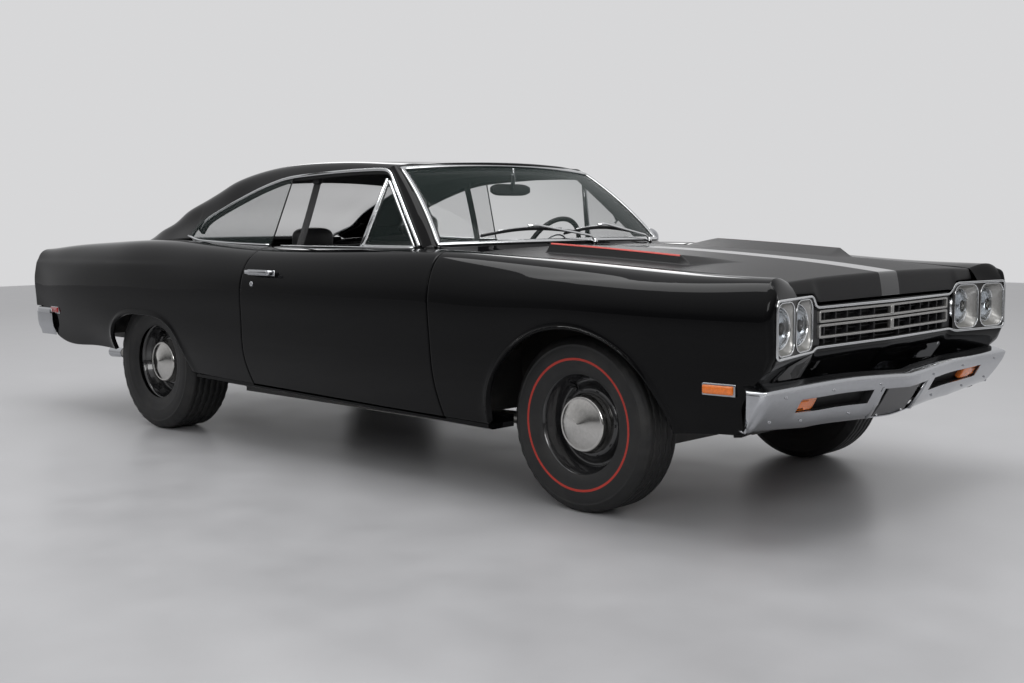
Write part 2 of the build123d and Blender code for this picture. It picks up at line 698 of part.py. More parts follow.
keep("windshield", windshield())
keep("rear_window", rear_window())
keep("quarter_glass", both(quarter_glass()))


# ---- floor, sills and structure ------------------------------------------------------------------
def floor_pan():
    """The rear floor with its tubs and rails, the floor with its tunnel, and the firewall with its hinge arms."""
    rise_x = REAR_AXLE_X + 663
    back_x = REAR_AXLE_X - 1212.5
    under_z = FLOOR_Z - SHEET
    firewall = block(FIREWALL_X - SHEET, FIREWALL_X, -FLOOR_HALF_W, FLOOR_HALF_W, 545, 915)
    posts = both(block(FIREWALL_X - SHEET, FIREWALL_X, KICK_Y - 10, FLOOR_HALF_W, HEM_Z + SILL_STEP + 8, 550))
    sill_y = FLOOR_HALF_W - SILL_LAP
    walls = both(block(rise_x - 30, FIREWALL_X - 230, sill_y - SHEET, sill_y, under_z, HEM_Z + SILL_STEP))
    toe = slab("y", -TOE_HALF_W, TOE_HALF_W, (
        (FIREWALL_X, 600), (FIREWALL_X, 555), (FIREWALL_X - 235, under_z), (FIREWALL_X - 260, under_z),
        (FIREWALL_X - 245, FLOOR_Z), (FIREWALL_X - SHEET, 562), (FIREWALL_X - SHEET, 600)))
    kicks = both(block(FIREWALL_X - 250, FIREWALL_X - SHEET, TOE_HALF_W - 2, KICK_Y, under_z, 915))
    flat = block(rise_x - 30, FIREWALL_X - 230, -sill_y, sill_y, under_z, FLOOR_Z)
    riser = slab("y", -REAR_FLOOR_HALF_W, REAR_FLOOR_HALF_W, (
        (rise_x, under_z), (rise_x, FLOOR_Z), (rise_x - 60, 432), (rise_x - 150, 450), (rise_x - 150, 450 - SHEET),
        (rise_x - 74, 414), (rise_x - 18, under_z)))
    axle_x = REAR_AXLE_X
    rear = slab("y", -REAR_FLOOR_HALF_W, REAR_FLOOR_HALF_W, (
        (rise_x - 148, 450), (axle_x + 230, 560), (axle_x - 230, 560), (axle_x - 380, 500), (back_x, 500),
        (back_x, 500 - SHEET), (axle_x - 375, 500 - SHEET), (axle_x - 225, 560 - SHEET), (axle_x + 225, 560 - SHEET),
        (rise_x - 148, 450 - SHEET)))
    wings = block(back_x, axle_x - 470, -(HALF_WIDTH - 150), HALF_WIDTH - 150, 500 - SHEET, 500)
    high = TUNNEL_HALF_W * 0.66
    tunnel = slab("x", rise_x - 20, FIREWALL_X, (
        (-TUNNEL_HALF_W, under_z), (-high, TUNNEL_TOP_Z), (high, TUNNEL_TOP_Z), (TUNNEL_HALF_W, under_z)))
    bore = slab("x", rise_x - 90, FIREWALL_X + 10, (
        (-TUNNEL_HALF_W + SHEET, under_z - 1), (-high + SHEET / 2, TUNNEL_TOP_Z - SHEET),
        (high - SHEET / 2, TUNNEL_TOP_Z - SHEET), (TUNNEL_HALF_W - SHEET, under_z - 1)))
    rail_end = axle_x - 1150
    rails = both(block(rail_end, axle_x + 425, REAR_RAIL_IN_Y, REAR_RAIL_OUT_Y, 400, 500 - SHEET))
    cross = block(rail_end, rail_end + 40, -REAR_RAIL_OUT_Y, REAR_RAIL_OUT_Y, 420, 500 - SHEET)
    iron_x = -HALF_LENGTH + BUMPER_WALL + RUN_GAP
    irons = both(slab("y", IRON_IN_Y, IRON_OUT_Y, (
        (rail_end + 20, 430), (rail_end + 20, 478), (iron_x, 556), (iron_x, 508))))
    arms = []
    for z in HINGE_HEIGHTS:
        arms += both(hinge_arm(z))
    shell = join([firewall, toe, flat, riser, rear, wings, tunnel] + posts + walls + kicks + both(wheel_tub()))
    whole = join([shell.cut(bore)] + rails + [cross] + irons + arms)
    reach = 2 * HALF_LENGTH
    limits = (-reach, rise_x - 22, FIREWALL_X - 262, reach)
    return [whole.intersect(block(low + SEAT_GAP / 2, high - SEAT_GAP / 2, -reach, reach, -reach, reach))
            for low, high in zip(limits, limits[1:])]


def wheel_tub():
    """The left rear wheel housing."""
    z = REAR_TYRE_R
    y0, y1 = REAR_FLOOR_HALF_W - TUB_WALL, HALF_WIDTH - QUARTER_WALL - 40
    outer = rod((REAR_AXLE_X, y0, z), (REAR_AXLE_X, y1, z), TUB_R + TUB_WALL)
    inner = rod((REAR_AXLE_X, y0 + TUB_WALL, z), (REAR_AXLE_X, y1 + 1, z), TUB_R)
    low = block(REAR_AXLE_X - 600, REAR_AXLE_X + 600, y0 - 1, y1 + 2, -200, z + 132)
    return outer.cut(inner).cut(low)


def sill():
    """The left sill, under the door, the fender's foot and the quarter's front."""
    out_y = HALF_WIDTH - SILL_OUT_INSET
    step_y = HALF_WIDTH - SILL_STEP_INSET

    def sections(x0, x1, lip):
        result = []
        for x in (x0, x1):
            hem = hem_z(x)
            result.append((x, [(FLOOR_HALF_W - SILL_LAP, hem - SILL_TALL), (out_y - 22, hem - SILL_TALL),
                               (out_y, hem - SILL_TALL + 9), (out_y, hem - lip), (step_y, hem - lip),
                               (step_y, hem + SILL_STEP), (FLOOR_HALF_W - SILL_LAP, hem + SILL_STEP)]))
        return ruled("x", result)

    front_x = FRONT_ARCH_X - FRONT_ARCH_R - 6
    rear_x = REAR_ARCH_X + REAR_ARCH_HALF + 12
    under_door = sections(DOOR_REAR_X - 40, DOOR_FRONT_X + 2, PANEL_GAP)
    return join([sections(DOOR_FRONT_X + 12, front_x, SEAT_GAP), sections(DOOR_FRONT_X, DOOR_FRONT_X + 14, PANEL_GAP),
                 under_door, sections(rear_x, DOOR_REAR_X - 40, SEAT_GAP)])


def front_structure():
    """The front rails, aprons, radiator yoke and hood hinge ears."""
    front_x = FRONT_AXLE_X + 640
    rail = block(FIREWALL_X, RAIL_END_X, RAIL_IN_Y, RAIL_OUT_Y, RAIL_LOW_Z, RAIL_HIGH_Z)
    sections = []
    for x, ahead in ((front_x, 600), (FIREWALL_X, -655)):
        top_y = HALF_WIDTH - edge_inset(ahead) - PANEL_GAP - 44
        top_z = hood_height(ahead, top_y) - LID_THICK - 16
        sections.append((x, [(RAIL_OUT_Y - 14, RAIL_HIGH_Z - 5), (RAIL_OUT_Y, RAIL_HIGH_Z - 5), (RAIL_OUT_Y, 720),
                             (top_y, top_z - 14), (top_y + 90, top_z - 14), (top_y + 90, top_z),
                             (top_y - 6, top_z), (RAIL_OUT_Y - 14, 728)]))
    apron = ruled("x", sections)
    yoke_outer = block(front_x, front_x + 22, -HALF_WIDTH + 290, HALF_WIDTH - 290, 350, 840)
    yoke_inner = block(front_x - 1, front_x + 23, -RAIL_IN_Y + 30, RAIL_IN_Y - 30, 410, 790)
    yoke = yoke_outer.cut(yoke_inner)
    ear = lid_ear(HOOD_PIN_X, HOOD_PIN_Y, HOOD_PIN_Z, sections[1][1][6][1] - 8)
    return join([yoke] + both(rail) + both(apron) + both(ear))


def cowl():
    """The panel between the hood and the windshield."""
    half = HALF_WIDTH - PILLAR_BASE[1] - PILLAR_WIDE + 5
    front_x = HOOD_REAR_X - PANEL_GAP
    return slab("y", -half, half, ((front_x, COWL_TOP_Z - 5), (front_x - 60, COWL_TOP_Z + 4),
                                   (COWL_REAR_X - 40, COWL_TOP_Z + 14), (COWL_REAR_X - 40, 925),
                                   (FIREWALL_X - SHEET, 915), (front_x, 915)))


for name, shape in zip(("rear_floor", "floor_pan", "firewall"), floor_pan()):
    keep(name, shape)
keep("sills", both(sill()))
keep("front_structure", front_structure())
keep("cowl", cowl())


# ---- nose ----------------------------------------------------------------------------------------
def bow(y):
    """How far forward the nose stands at a distance from the centre line."""
    return GRILLE_BOW * (1 - abs(y) / GRILLE_HALF_W)


def nose_strip(low_z, high_z, back, front, half):
    """A strip across the nose that follows its bow."""
    outline = [(GRILLE_X + back, -half), (GRILLE_X + front, -half), (GRILLE_X + front + bow(0), 0),
               (GRILLE_X + front, half), (GRILLE_X + back, half)]
    return slab("z", low_z, high_z, outline)


def grille():
    """The surround, two bar loops and the struts that carry them."""
    wall = 11
    half = GRILLE_HALF_W
    top = nose_strip(GRILLE_HIGH_Z - wall, GRILLE_HIGH_Z, -26, 0, half)
    low = nose_strip(GRILLE_LOW_Z, GRILLE_LOW_Z + wall, -26, 0, half)
    pieces = [top, low]
    pieces += both(block(GRILLE_X - 26, GRILLE_X, half - wall, half, GRILLE_LOW_Z, GRILLE_HIGH_Z))
    for centre in (757, 698):
        for offset in (-18, 18):
            pieces.append(nose_strip(centre + offset - 5, centre + offset + 5, -24, -8, half - wall + 2))
    for y in (-300, -150, 0, 150, 300):
        pieces.append(block(GRILLE_X - 40, GRILLE_X - 20, y - 6, y + 6, GRILLE_LOW_Z + 2, GRILLE_HIGH_Z - 2))
    return join(pieces)


def bezel():
    """The left lamp housing, with two round recesses."""
    out_y = HALF_WIDTH - BEZEL_OUT_INSET
    outline = [(BEZEL_BACK_X, BEZEL_IN_Y), (GRILLE_X, BEZEL_IN_Y), (GRILLE_X + BEZEL_LEAD, out_y), (BEZEL_BACK_X, out_y)]
    shape = slab("z", BEZEL_LOW_Z, BEZEL_HIGH_Z, outline)
    for y in LAMP_YS:
        shape = shape.cut(rod((BEZEL_BACK_X + 10, y, LAMP_Z), (GRILLE_X + 120, y, LAMP_Z), LAMP_R + 6))
    return shape


def headlamps():
    """The four round lamps, two each side."""
    lamps = []
    out_y = HALF_WIDTH - BEZEL_OUT_INSET
    for y in LAMP_YS:
        face_x = GRILLE_X + BEZEL_LEAD * (y - BEZEL_IN_Y) / (out_y - BEZEL_IN_Y) - 22
        lamps += both(rod((BEZEL_BACK_X + 10, y, LAMP_Z), (face_x, y, LAMP_Z), LAMP_R))
    return lamps


def nose_panels():
    """The body-colour panels above and below the grille, with the bumper's irons."""
    half = GRILLE_HALF_W + 20
    upper = nose_strip(GRILLE_HIGH_Z, 852, -70, 4, half)
    lower = slab("y", -half, half, ((GRILLE_X - 60, GRILLE_LOW_Z), (GRILLE_X, GRILLE_LOW_Z), (GRILLE_X + 30, 610),
                                    (GRILLE_X + 10, 530), (GRILLE_X - 60, 500)))
    corners = []
    for shape in both(slab("y", half, HALF_WIDTH - 112, (
            (GRILLE_X - 60, BEZEL_LOW_Z), (GRILLE_X + 40, BEZEL_LOW_Z), (GRILLE_X + 40, 560), (GRILLE_X + 10, 530),
            (GRILLE_X - 60, 500)))):
        corners.append(shape)
    caps = both(slab("y", half, HALF_WIDTH - 112, (
        (GRILLE_X - 70, BEZEL_HIGH_Z), (GRILLE_X + 46, BEZEL_HIGH_Z), (GRILLE_X + 40, 858), (GRILLE_X - 70, 858))))
    ties = both(block(FRONT_AXLE_X + 662, GRILLE_X - 60, half - 60, half, 515, 640))
    ties += both(block(FRONT_AXLE_X + 662, GRILLE_X - 70, half - 60, half, 800, 830))
    low_x, high_x = bumper_inside(BUMPER_LOW_Z + 12), bumper_inside(BUMPER_LOW_Z + 80)
    irons = both(slab("y", IRON_IN_Y, IRON_OUT_Y, (
        (RAIL_END_X, RAIL_HIGH_Z - 70), (RAIL_END_X, RAIL_HIGH_Z), (high_x, BUMPER_LOW_Z + 80),
        (low_x, BUMPER_LOW_Z + 12))))
    return [join([upper] + caps), join([lower] + corners)] + ties + irons


def bumper_inside(z):
    """Where the front bumper's inner face lies, less a running gap, at a height under its crease."""
    lean = BUMPER_TUCK / (BUMPER_CREASE_Z - BUMPER_LOW_Z)
    return FRONT_AXLE_X + FRONT_OVERHANG - BUMPER_WALL - RUN_GAP - lean * (BUMPER_CREASE_Z - z)


def bumper_outline(x_face, back_x, side_y, push):
    """A wrapped bumper seen from above, as its outer line then its inner line."""
    wall = BUMPER_WALL
    corner, turn = push * 0.3, push * 0.45
    outer = [(back_x, side_y - 8), (x_face - 62 - corner, side_y), (x_face - 24 - turn, side_y - 22),
             (x_face - push, side_y - 470)]
    inner = [(x_face - wall - push, side_y - 474), (x_face - 36 - turn, side_y - 30 - wall),
             (x_face - 70 - corner, side_y - wall), (back_x, side_y - 8 - wall)]
    right_outer = [(x, -y) for x, y in reversed(outer)]
    right_inner = [(x, -y) for x, y in reversed(inner)]
    return outer + right_outer + right_inner + inner


def front_bumper():
    """The front bumper, with a slot each side of its middle."""
    face = FRONT_AXLE_X + FRONT_OVERHANG
    back = FRONT_AXLE_X + 774
    side = HALF_WIDTH - 42
    shape = ruled("z", [(BUMPER_LOW_Z, bumper_outline(face, back, side - 14, BUMPER_TUCK)),
                        (BUMPER_CREASE_Z, bumper_outline(face, back, side, 0)),
                        (BUMPER_HIGH_Z, bumper_outline(face, back + 10, side - 10, 14))])
    for side_sign in (-1, 1):
        y0, y1 = sorted((side_sign * SLOT_IN_Y, side_sign * SLOT_OUT_Y))
        shape = shape.cut(block(face - 130, face + 20, y0, y1, SLOT_LOW_Z, SLOT_HIGH_Z))
        y = side_sign * PLATE_SPACING / 2
        shape = shape.cut(rod((face - 120, y, 470), (face + 20, y, 470), PLATE_HOLE_R))
    return shape


def turn_signals():
    """The two amber lamps in the outer ends of the bumper's slots."""
    face = FRONT_AXLE_X + FRONT_OVERHANG
    lean = BUMPER_TUCK / (BUMPER_CREASE_Z - BUMPER_LOW_Z)
    high_x = face - lean * (BUMPER_CREASE_Z - SLOT_HIGH_Z) - 12
    low_x = face - lean * (BUMPER_CREASE_Z - SLOT_LOW_Z) - 12
    outline = ((high_x, SLOT_HIGH_Z), (low_x, SLOT_LOW_Z), (low_x - 40, SLOT_LOW_Z), (low_x - 40, SLOT_HIGH_Z))
    return both(slab("y", SLOT_OUT_Y - 112, SLOT_OUT_Y, outline))


keep("grille", grille())
keep("lamp_bezels", both(bezel()))
keep("headlamps", headlamps())
keep("nose_panels", nose_panels())
keep("front_bumper", front_bumper())
keep("turn_signals", turn_signals())


# ---- tail ----------------------------------------------------------------------------------------
def tail_panel():
    """The panel across the tail, under the trunk lid."""
    x = REAR_AXLE_X - 1277
    half = HALF_WIDTH - 150
    upper = slab("y", -half, half, ((x, 600), (x - 6, 860), (x + 10, 868), (x + 34, 868), (x + 40, 600)))
    lower = slab("y", -half + 90, half - 90, (
        (x + 31, 601), (x + 40, 601), (x + 64, 560), (x + 64, 480), (x + 50, 480), (x + 50, 556)))
    for shape in both(block(x, x + 90, IRON_IN_Y - 6, IRON_OUT_Y + 6, 480, 570)):
        lower = lower.cut(shape)
    return join([upper, lower])


def tail_lamps():
    """A wide lamp at each end of the tail panel."""
    x = REAR_AXLE_X - 1277
    outline = ((x - 2.6, 680), (x - 14, 686), (x - 16, 772), (x - 4.2, 780))
    return both(slab("y", HALF_WIDTH - 560, HALF_WIDTH - 155, outline))


def rear_bumper():
    """The rear bumper, wrapped round the quarters."""
    face = -HALF_LENGTH
    back = REAR_AXLE_X - 1030
    side = HALF_WIDTH - 46
    wall = BUMPER_WALL

    def outline(push, pull):
        outer = [(back, side - pull), (face + 70, side - pull), (face + 22, side - 40 - pull), (face, side - 480)]
        inner = [(face + wall, side - 482), (face + 38, side - 50 - pull - wall), (face + 76, side - pull - wall),
                 (back, side - pull - wall)]
        left_outer = [(x + push if x != back else x, y) for x, y in outer]
        left_inner = [(x + push if x != back else x, y) for x, y in inner]
        right_outer = [(x, -y) for x, y in reversed(left_outer)]
        right_inner = [(x, -y) for x, y in reversed(left_inner)]
        return left_outer + right_outer + right_inner + left_inner

    shape = ruled("z", [(REAR_BUMPER_LOW_Z, outline(40, 12)), (REAR_BUMPER_LOW_Z + 60, outline(0, 0)),
                        (REAR_BUMPER_HIGH_Z - 14, outline(0, 0)), (REAR_BUMPER_HIGH_Z, outline(12, 8))])
    for side_sign in (-1, 1):
        y = side_sign * PLATE_SPACING / 2
        shape = shape.cut(rod((face - 20, y, 560), (face + 60, y, 560), PLATE_HOLE_R))
    return shape


keep("tail_panel", tail_panel())
keep("tail_lamps", tail_lamps())
keep("rear_bumper", rear_bumper())


# ---- wheels --------------------------------------------------------------------------------------
def tyre(x, centre_y, radius, width):
    """A tyre with a flat tread and rounded shoulders."""
    half = width / 2
    tread = half * 0.72
    outline = ((-tread, radius), (tread, radius), (half * 0.93, radius - 22), (half, radius - 62),
               (half * 0.96, RIM_SEAT_R + 32), (half * 0.78, RIM_SEAT_R), (-half * 0.78, RIM_SEAT_R),
               (-half * 0.96, RIM_SEAT_R + 32), (-half, radius - 62), (-half * 0.93, radius - 22))
    return turned(x, centre_y, radius, outline)


def rim(x, centre_y, z, rim_width, tyre_width):
    """The left wheel: barrel, disc, hub and cap."""
    half = min(rim_width / 2, tyre_width / 2 * 0.78)
    face = half - DISC_INSET
    barrel = ((-half, RIM_SEAT_R - RIM_WALL), (-half, RIM_SEAT_R), (half, RIM_SEAT_R), (half, RIM_SEAT_R - RIM_WALL))
    disc = ((face - 8, 0), (face - 8, RIM_SEAT_R - RIM_WALL + 1), (face + 4, RIM_SEAT_R - RIM_WALL + 1), (face + 4, 0))
    cap = ((face, 0), (face, CAP_R), (face + 18, CAP_R - 6), (face + CAP_HEIGHT, 34), (face + CAP_HEIGHT, 0))
    pieces = [turned(x, centre_y, z, outline) for outline in (barrel, disc, cap)]
    return join(pieces), centre_y + face


def drum(x, face_y, z, bore_r):
    """A brake drum behind the left wheel's disc, open at its back."""
    outer = rod((x, face_y - 8 - DRUM_W, z), (x, face_y - 7, z), DRUM_R)
    inner = rod((x, face_y - 9 - DRUM_W, z), (x, face_y - 18, z), DRUM_R - 12)
    hub = rod((x, face_y - 8 - DRUM_W + 12, z), (x, face_y - 7, z), HUB_R - 14)
    bore = rod((x, face_y - 9 - DRUM_W, z), (x, face_y - 14, z), bore_r)
    return join([outer.cut(inner), hub]).cut(bore)


front_tyre = tyre(FRONT_AXLE_X, FRONT_TRACK / 2, FRONT_TYRE_R, FRONT_TYRE_W)
front_rim, front_face = rim(FRONT_AXLE_X, FRONT_TRACK / 2, FRONT_TYRE_R, FRONT_RIM_W, FRONT_TYRE_W)
front_wheel = join([front_rim, drum(FRONT_AXLE_X, front_face, FRONT_TYRE_R, SPINDLE_R + RUN_GAP)])
rear_tyre = tyre(REAR_AXLE_X, REAR_TRACK / 2, REAR_TYRE_R, REAR_TYRE_W)
rear_rim, rear_face = rim(REAR_AXLE_X, REAR_TRACK / 2, REAR_TYRE_R, REAR_RIM_W, REAR_TYRE_W)
rear_wheel = join([rear_rim, drum(REAR_AXLE_X, rear_face, REAR_TYRE_R, SPINDLE_R + RUN_GAP)])
for end, tyre_shape, wheel_shape in (("front", front_tyre, front_wheel), ("rear", rear_tyre, rear_wheel)):
    keep(f"tyre_{end}_left", tyre_shape)
    keep(f"tyre_{end}_right", tyre_shape.mirror(Plane.XZ))
    keep(f"wheel_{end}_left", wheel_shape)
    keep(f"wheel_{end}_right", wheel_shape.mirror(Plane.XZ))


# ---- suspension and driveline --------------------------------------------------------------------
def knuckle():
    """The left steering knuckle: an upright, a backing plate and the spindle."""
    x, z = FRONT_AXLE_X, FRONT_TYRE_R
    back_y = front_face - 8 - DRUM_W
    half = BALL_RISE - ARM_THICK / 2 - RUN_GAP
    upright = rod((x, KINGPIN_Y, z - half), (x, KINGPIN_Y, z + half), KINGPIN_R + 8)
    pin = rod((x, KINGPIN_Y, z - half - ARM_THICK / 2), (x, KINGPIN_Y, z + half + ARM_THICK / 2), KINGPIN_R)
    plate = rod((x, back_y - 10, z), (x, back_y - 4, z), DRUM_R - 4)
    spindle = rod((x, KINGPIN_Y, z), (x, front_face - 16, z), SPINDLE_R)
    boss = rod((x, KINGPIN_Y, z), (x, back_y - 4, z), 48)
    steer_arm = block(x - 150, x - 10, KINGPIN_Y - 16, KINGPIN_Y + 4, z - 86, z - 66)
    return join([upright, pin, boss, plate, spindle, steer_arm])


def front_suspension():
    """The crossmember and the upper and lower arms, out to the ball joints."""
    x, z = FRONT_AXLE_X, FRONT_TYRE_R
    member = block(x - CROSS_HALF_X, x + CROSS_HALF_X, -RAIL_IN_Y - 60, RAIL_IN_Y + 60, CROSS_LOW_Z, CROSS_LOW_Z + 80)
    posts = both(block(x - CROSS_HALF_X, x + CROSS_HALF_X, RAIL_IN_Y, RAIL_OUT_Y - 20, CROSS_LOW_Z, RAIL_LOW_Z))
    low = z - BALL_RISE
    high = z + BALL_RISE
    half = ARM_THICK / 2
    lower = block(x - ARM_HALF_W, x + ARM_HALF_W, RAIL_IN_Y + 30, KINGPIN_Y - EYE_HALF_W, low - half, low + half)
    upper = block(x - ARM_HALF_W, x + ARM_HALF_W, RAIL_OUT_Y, KINGPIN_Y - EYE_HALF_W, high - half, high + half)
    eyes = [block(x - EYE_HALF_W, x + EYE_HALF_W, KINGPIN_Y - EYE_HALF_W - 6, KINGPIN_Y + EYE_HALF_W, at - half, at + half)
            for at in (low, high)]
    lower, upper = join([lower, eyes[0]]), join([upper, eyes[1]])
    bore = rod((x, KINGPIN_Y, low - ARM_THICK), (x, KINGPIN_Y, high + ARM_THICK), KINGPIN_R + RUN_GAP)
    arms = [join([member] + posts + both(lower))] + both(upper)
    return [arm.cut(bore).cut(bore.mirror(Plane.XZ)) for arm in arms]


def engine():
    """The engine and gearbox as one plain block on the crossmember."""
    top_z = 800
    low_z = CROSS_LOW_Z + 80
    block_part = block(FRONT_AXLE_X - 620, FRONT_AXLE_X + 260, -250, 250, low_z, top_z)
    heads = block(FRONT_AXLE_X - 560, FRONT_AXLE_X + 200, -345, 345, 560, top_z - 60)
    gearbox = block(FIREWALL_X - 640, FRONT_AXLE_X - 600, -78, 78, low_z, TUNNEL_TOP_Z - SHEET - 30)
    return join([block_part, heads, gearbox])


def driveshaft():
    """The shaft from the gearbox to the rear axle."""
    z = 318
    return rod((FIREWALL_X - 640, 0, z), (REAR_AXLE_X + DIFF_R + 60, 0, z), 38)


def rear_axle():
    """The axle tubes, the gear housing and the spindles in the drums."""
    x, z = REAR_AXLE_X, REAR_TYRE_R
    back_y = rear_face - 8 - DRUM_W
    tube_part = rod((x, -back_y + 3, z), (x, back_y - 3, z), AXLE_TUBE_R)
    shaft = rod((x, -rear_face + 16, z), (x, rear_face - 16, z), SPINDLE_R)
    housing = rod((x, -85, z), (x, 85, z), DIFF_R)
    nose = rod((x + DIFF_R - 40, 0, 318), (x + DIFF_R + 60, 0, 318), 58)
    return join([tube_part, shaft, housing, nose])


def leaf_spring():
    """The left leaf spring, its eyes and its hangers."""
    x, z = REAR_AXLE_X, REAR_TYRE_R - AXLE_TUBE_R
    y0, y1 = SPRING_Y - SPRING_W / 2, SPRING_Y + SPRING_W / 2
    leaves = slab("y", y0, y1, ((x + 560, z - 6), (x + 560, z + 6), (x + 90, z), (x - 90, z), (x - 800, z + 96),
                                (x - 800, z + 84), (x - 110, z - 34), (x + 110, z - 34)))
    hanger = slab("y", y0, y1, ((x + 500, z + 3), (x + 590, z - 14), (x + 590, z + 40), (x + 515, 429), (x + 500, 429)))
    shackle = block(x - 806, x - 786, y0, y1, z + 80, 480)
    return join([leaves, hanger, shackle])


def exhaust():
    """The left exhaust line."""
    points = ((FRONT_AXLE_X - 560, 300, 400), (FIREWALL_X - 60, 300, 215), (FIREWALL_X - 420, 300, 205),
              (REAR_AXLE_X + 460, 330, 205), (REAR_AXLE_X + 170, 345, 465), (REAR_AXLE_X - 250, 400, 455),
              (REAR_AXLE_X - 560, 425, 300), (REAR_AXLE_X - 1235, 430, 290))
    pipe = tube(points, [60, 90, 90, 70, 70, 90], 28)
    muffler = block(FIREWALL_X - 1120, FIREWALL_X - 560, 215, 400, 165, 240)
    strap = block(FIREWALL_X - 860, FIREWALL_X - 820, 295, 320, 235, FLOOR_Z - SHEET - RUN_GAP)
    return join([pipe, muffler, strap])


keep("knuckle_left", knuckle())
keep("knuckle_right", knuckle().mirror(Plane.XZ))
keep("front_suspension", front_suspension())
keep("engine", engine())
keep("driveshaft", driveshaft())
keep("rear_axle", rear_axle())
keep("leaf_springs", both(leaf_spring()))
keep("exhaust", both(exhaust()))
keep("fuel_tank", block(REAR_AXLE_X - 1080, REAR_AXLE_X - 480, -360, 360, 290, 480))
keep("radiator", block(FRONT_AXLE_X + 590, FRONT_AXLE_X + 640, -RAIL_IN_Y + 5, RAIL_IN_Y - 5, 390, 810))


# ---- cabin ---------------------------------------------------------------------------------------
def dashboard():
    """The dashboard and the steering column under it."""
    front_x = FIREWALL_X - SHEET
    half = TOE_HALF_W - 4
    face = slab("y", -half, half, ((front_x, 905), (front_x - 210, 912), (front_x - 300, 885), (front_x - 330, 760),
                                   (front_x - 290, 700), (front_x - 200, 690), (front_x, 740)))
    tilt = radians(COLUMN_TILT)
    start_gap = 30 + RUN_GAP
    start = (WHEEL_X + start_gap * cos(tilt), WHEEL_Y, WHEEL_Z - start_gap * sin(tilt))
    stop_x = front_x - COLUMN_R * sin(tilt) - 1
    reach = (stop_x - start[0]) / cos(tilt)
    end = (stop_x, WHEEL_Y, start[2] - reach * sin(tilt))
    return join([face, rod(start, end, COLUMN_R)])


def steering_wheel():
    """The rim, three spokes and hub, square to the column."""
    tilt = radians(COLUMN_TILT)
    to_driver = Vector(-cos(tilt), 0, sin(tilt))
    plane = Plane((WHEEL_X, WHEEL_Y, WHEEL_Z), x_dir=(0, 1, 0), z_dir=to_driver)
    rim_part = plane * Torus(WHEEL_RIM_R, WHEEL_RIM_TUBE)
    hub_part = plane * Pos(0, 0, -12) * Cylinder(34, 36)
    pieces = [hub_part, rim_part]
    for angle in (0, 180, 270):
        pieces.append(plane * Rot(0, 0, angle) * Pos(WHEEL_RIM_R / 2, 0, 0) * Box(WHEEL_RIM_R - 6, 26, 8))
    return join(pieces)


def front_seat():
    """The front bench: cushion, back and two head restraints."""
    x = SEAT_FRONT_X
    cushion = slab("y", -640, 640, ((x, 430), (x + 10, SEAT_TOP_Z - 40), (x - 40, SEAT_TOP_Z),
                                    (x - SEAT_DEPTH + 60, SEAT_TOP_Z - 40), (x - SEAT_DEPTH + 60, SEAT_LOW_Z), (x - 40, SEAT_LOW_Z)))
    back = slab("y", -640, 640, ((x - SEAT_DEPTH + 60, 420), (x - SEAT_DEPTH + 60, SEAT_TOP_Z - 40),
                                 (x - SEAT_DEPTH - 60, SEAT_BACK_TOP_Z), (x - SEAT_DEPTH - 130, SEAT_BACK_TOP_Z),
                                 (x - SEAT_DEPTH - 60, 420)))
    rests = []
    for shape in both(block(x - SEAT_DEPTH - 160, x - SEAT_DEPTH - 70, 250, 490, 985, 1130)):
        rests.append(shape)
    for shape in both(block(x - SEAT_DEPTH - 122, x - SEAT_DEPTH - 106, 362, 378, SEAT_BACK_TOP_Z - 5, 990)):
        rests.append(shape)
    base = both(block(x - SEAT_DEPTH + 80, x - 40, 230, 560, FLOOR_Z, SEAT_LOW_Z + 1))
    return join([cushion, back] + rests + base)


def rear_seat():
    """The rear bench and the parcel shelf behind it."""
    x = REAR_AXLE_X + 640
    pan = 450 + RUN_GAP
    cushion = slab("y", -540, 540, ((x, pan), (x + 20, 540), (x - 40, 578), (x - 330, 566), (x - 330, 534),
                                    (x - 125, pan)))
    back = slab("y", -540, 540, ((x - 312, 542), (x - 312, 562), (x - 450, 925), (x - 540, 925), (x - 415, 564)))
    shelf = slab("y", -540, 540, ((x - 450, 925), (x - 900, 935), (x - 900, 915), (x - 455, 905)))
    return join([cushion, back, shelf])


keep("dashboard", dashboard())
keep("steering_wheel", steering_wheel())
keep("front_seat", front_seat())
keep("rear_seat", rear_seat())

os.makedirs("parts", exist_ok=True)
for name, solids in parts.items():
    shape = solids[0] if len(solids) == 1 else Compound(solids)
    export_step(shape, f"parts/{name}.step")
    print(name, len(solids), round(sum(solid.volume for solid in solids) / 1e6, 2))
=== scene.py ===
"""Black two-door hardtop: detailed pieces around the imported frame."""
from math import atan2, cos, pi, radians, sin, tau

import bmesh
import bpy
import numpy as np
from mathutils import Matrix, Vector
from numpy import array, clip, interp, linspace


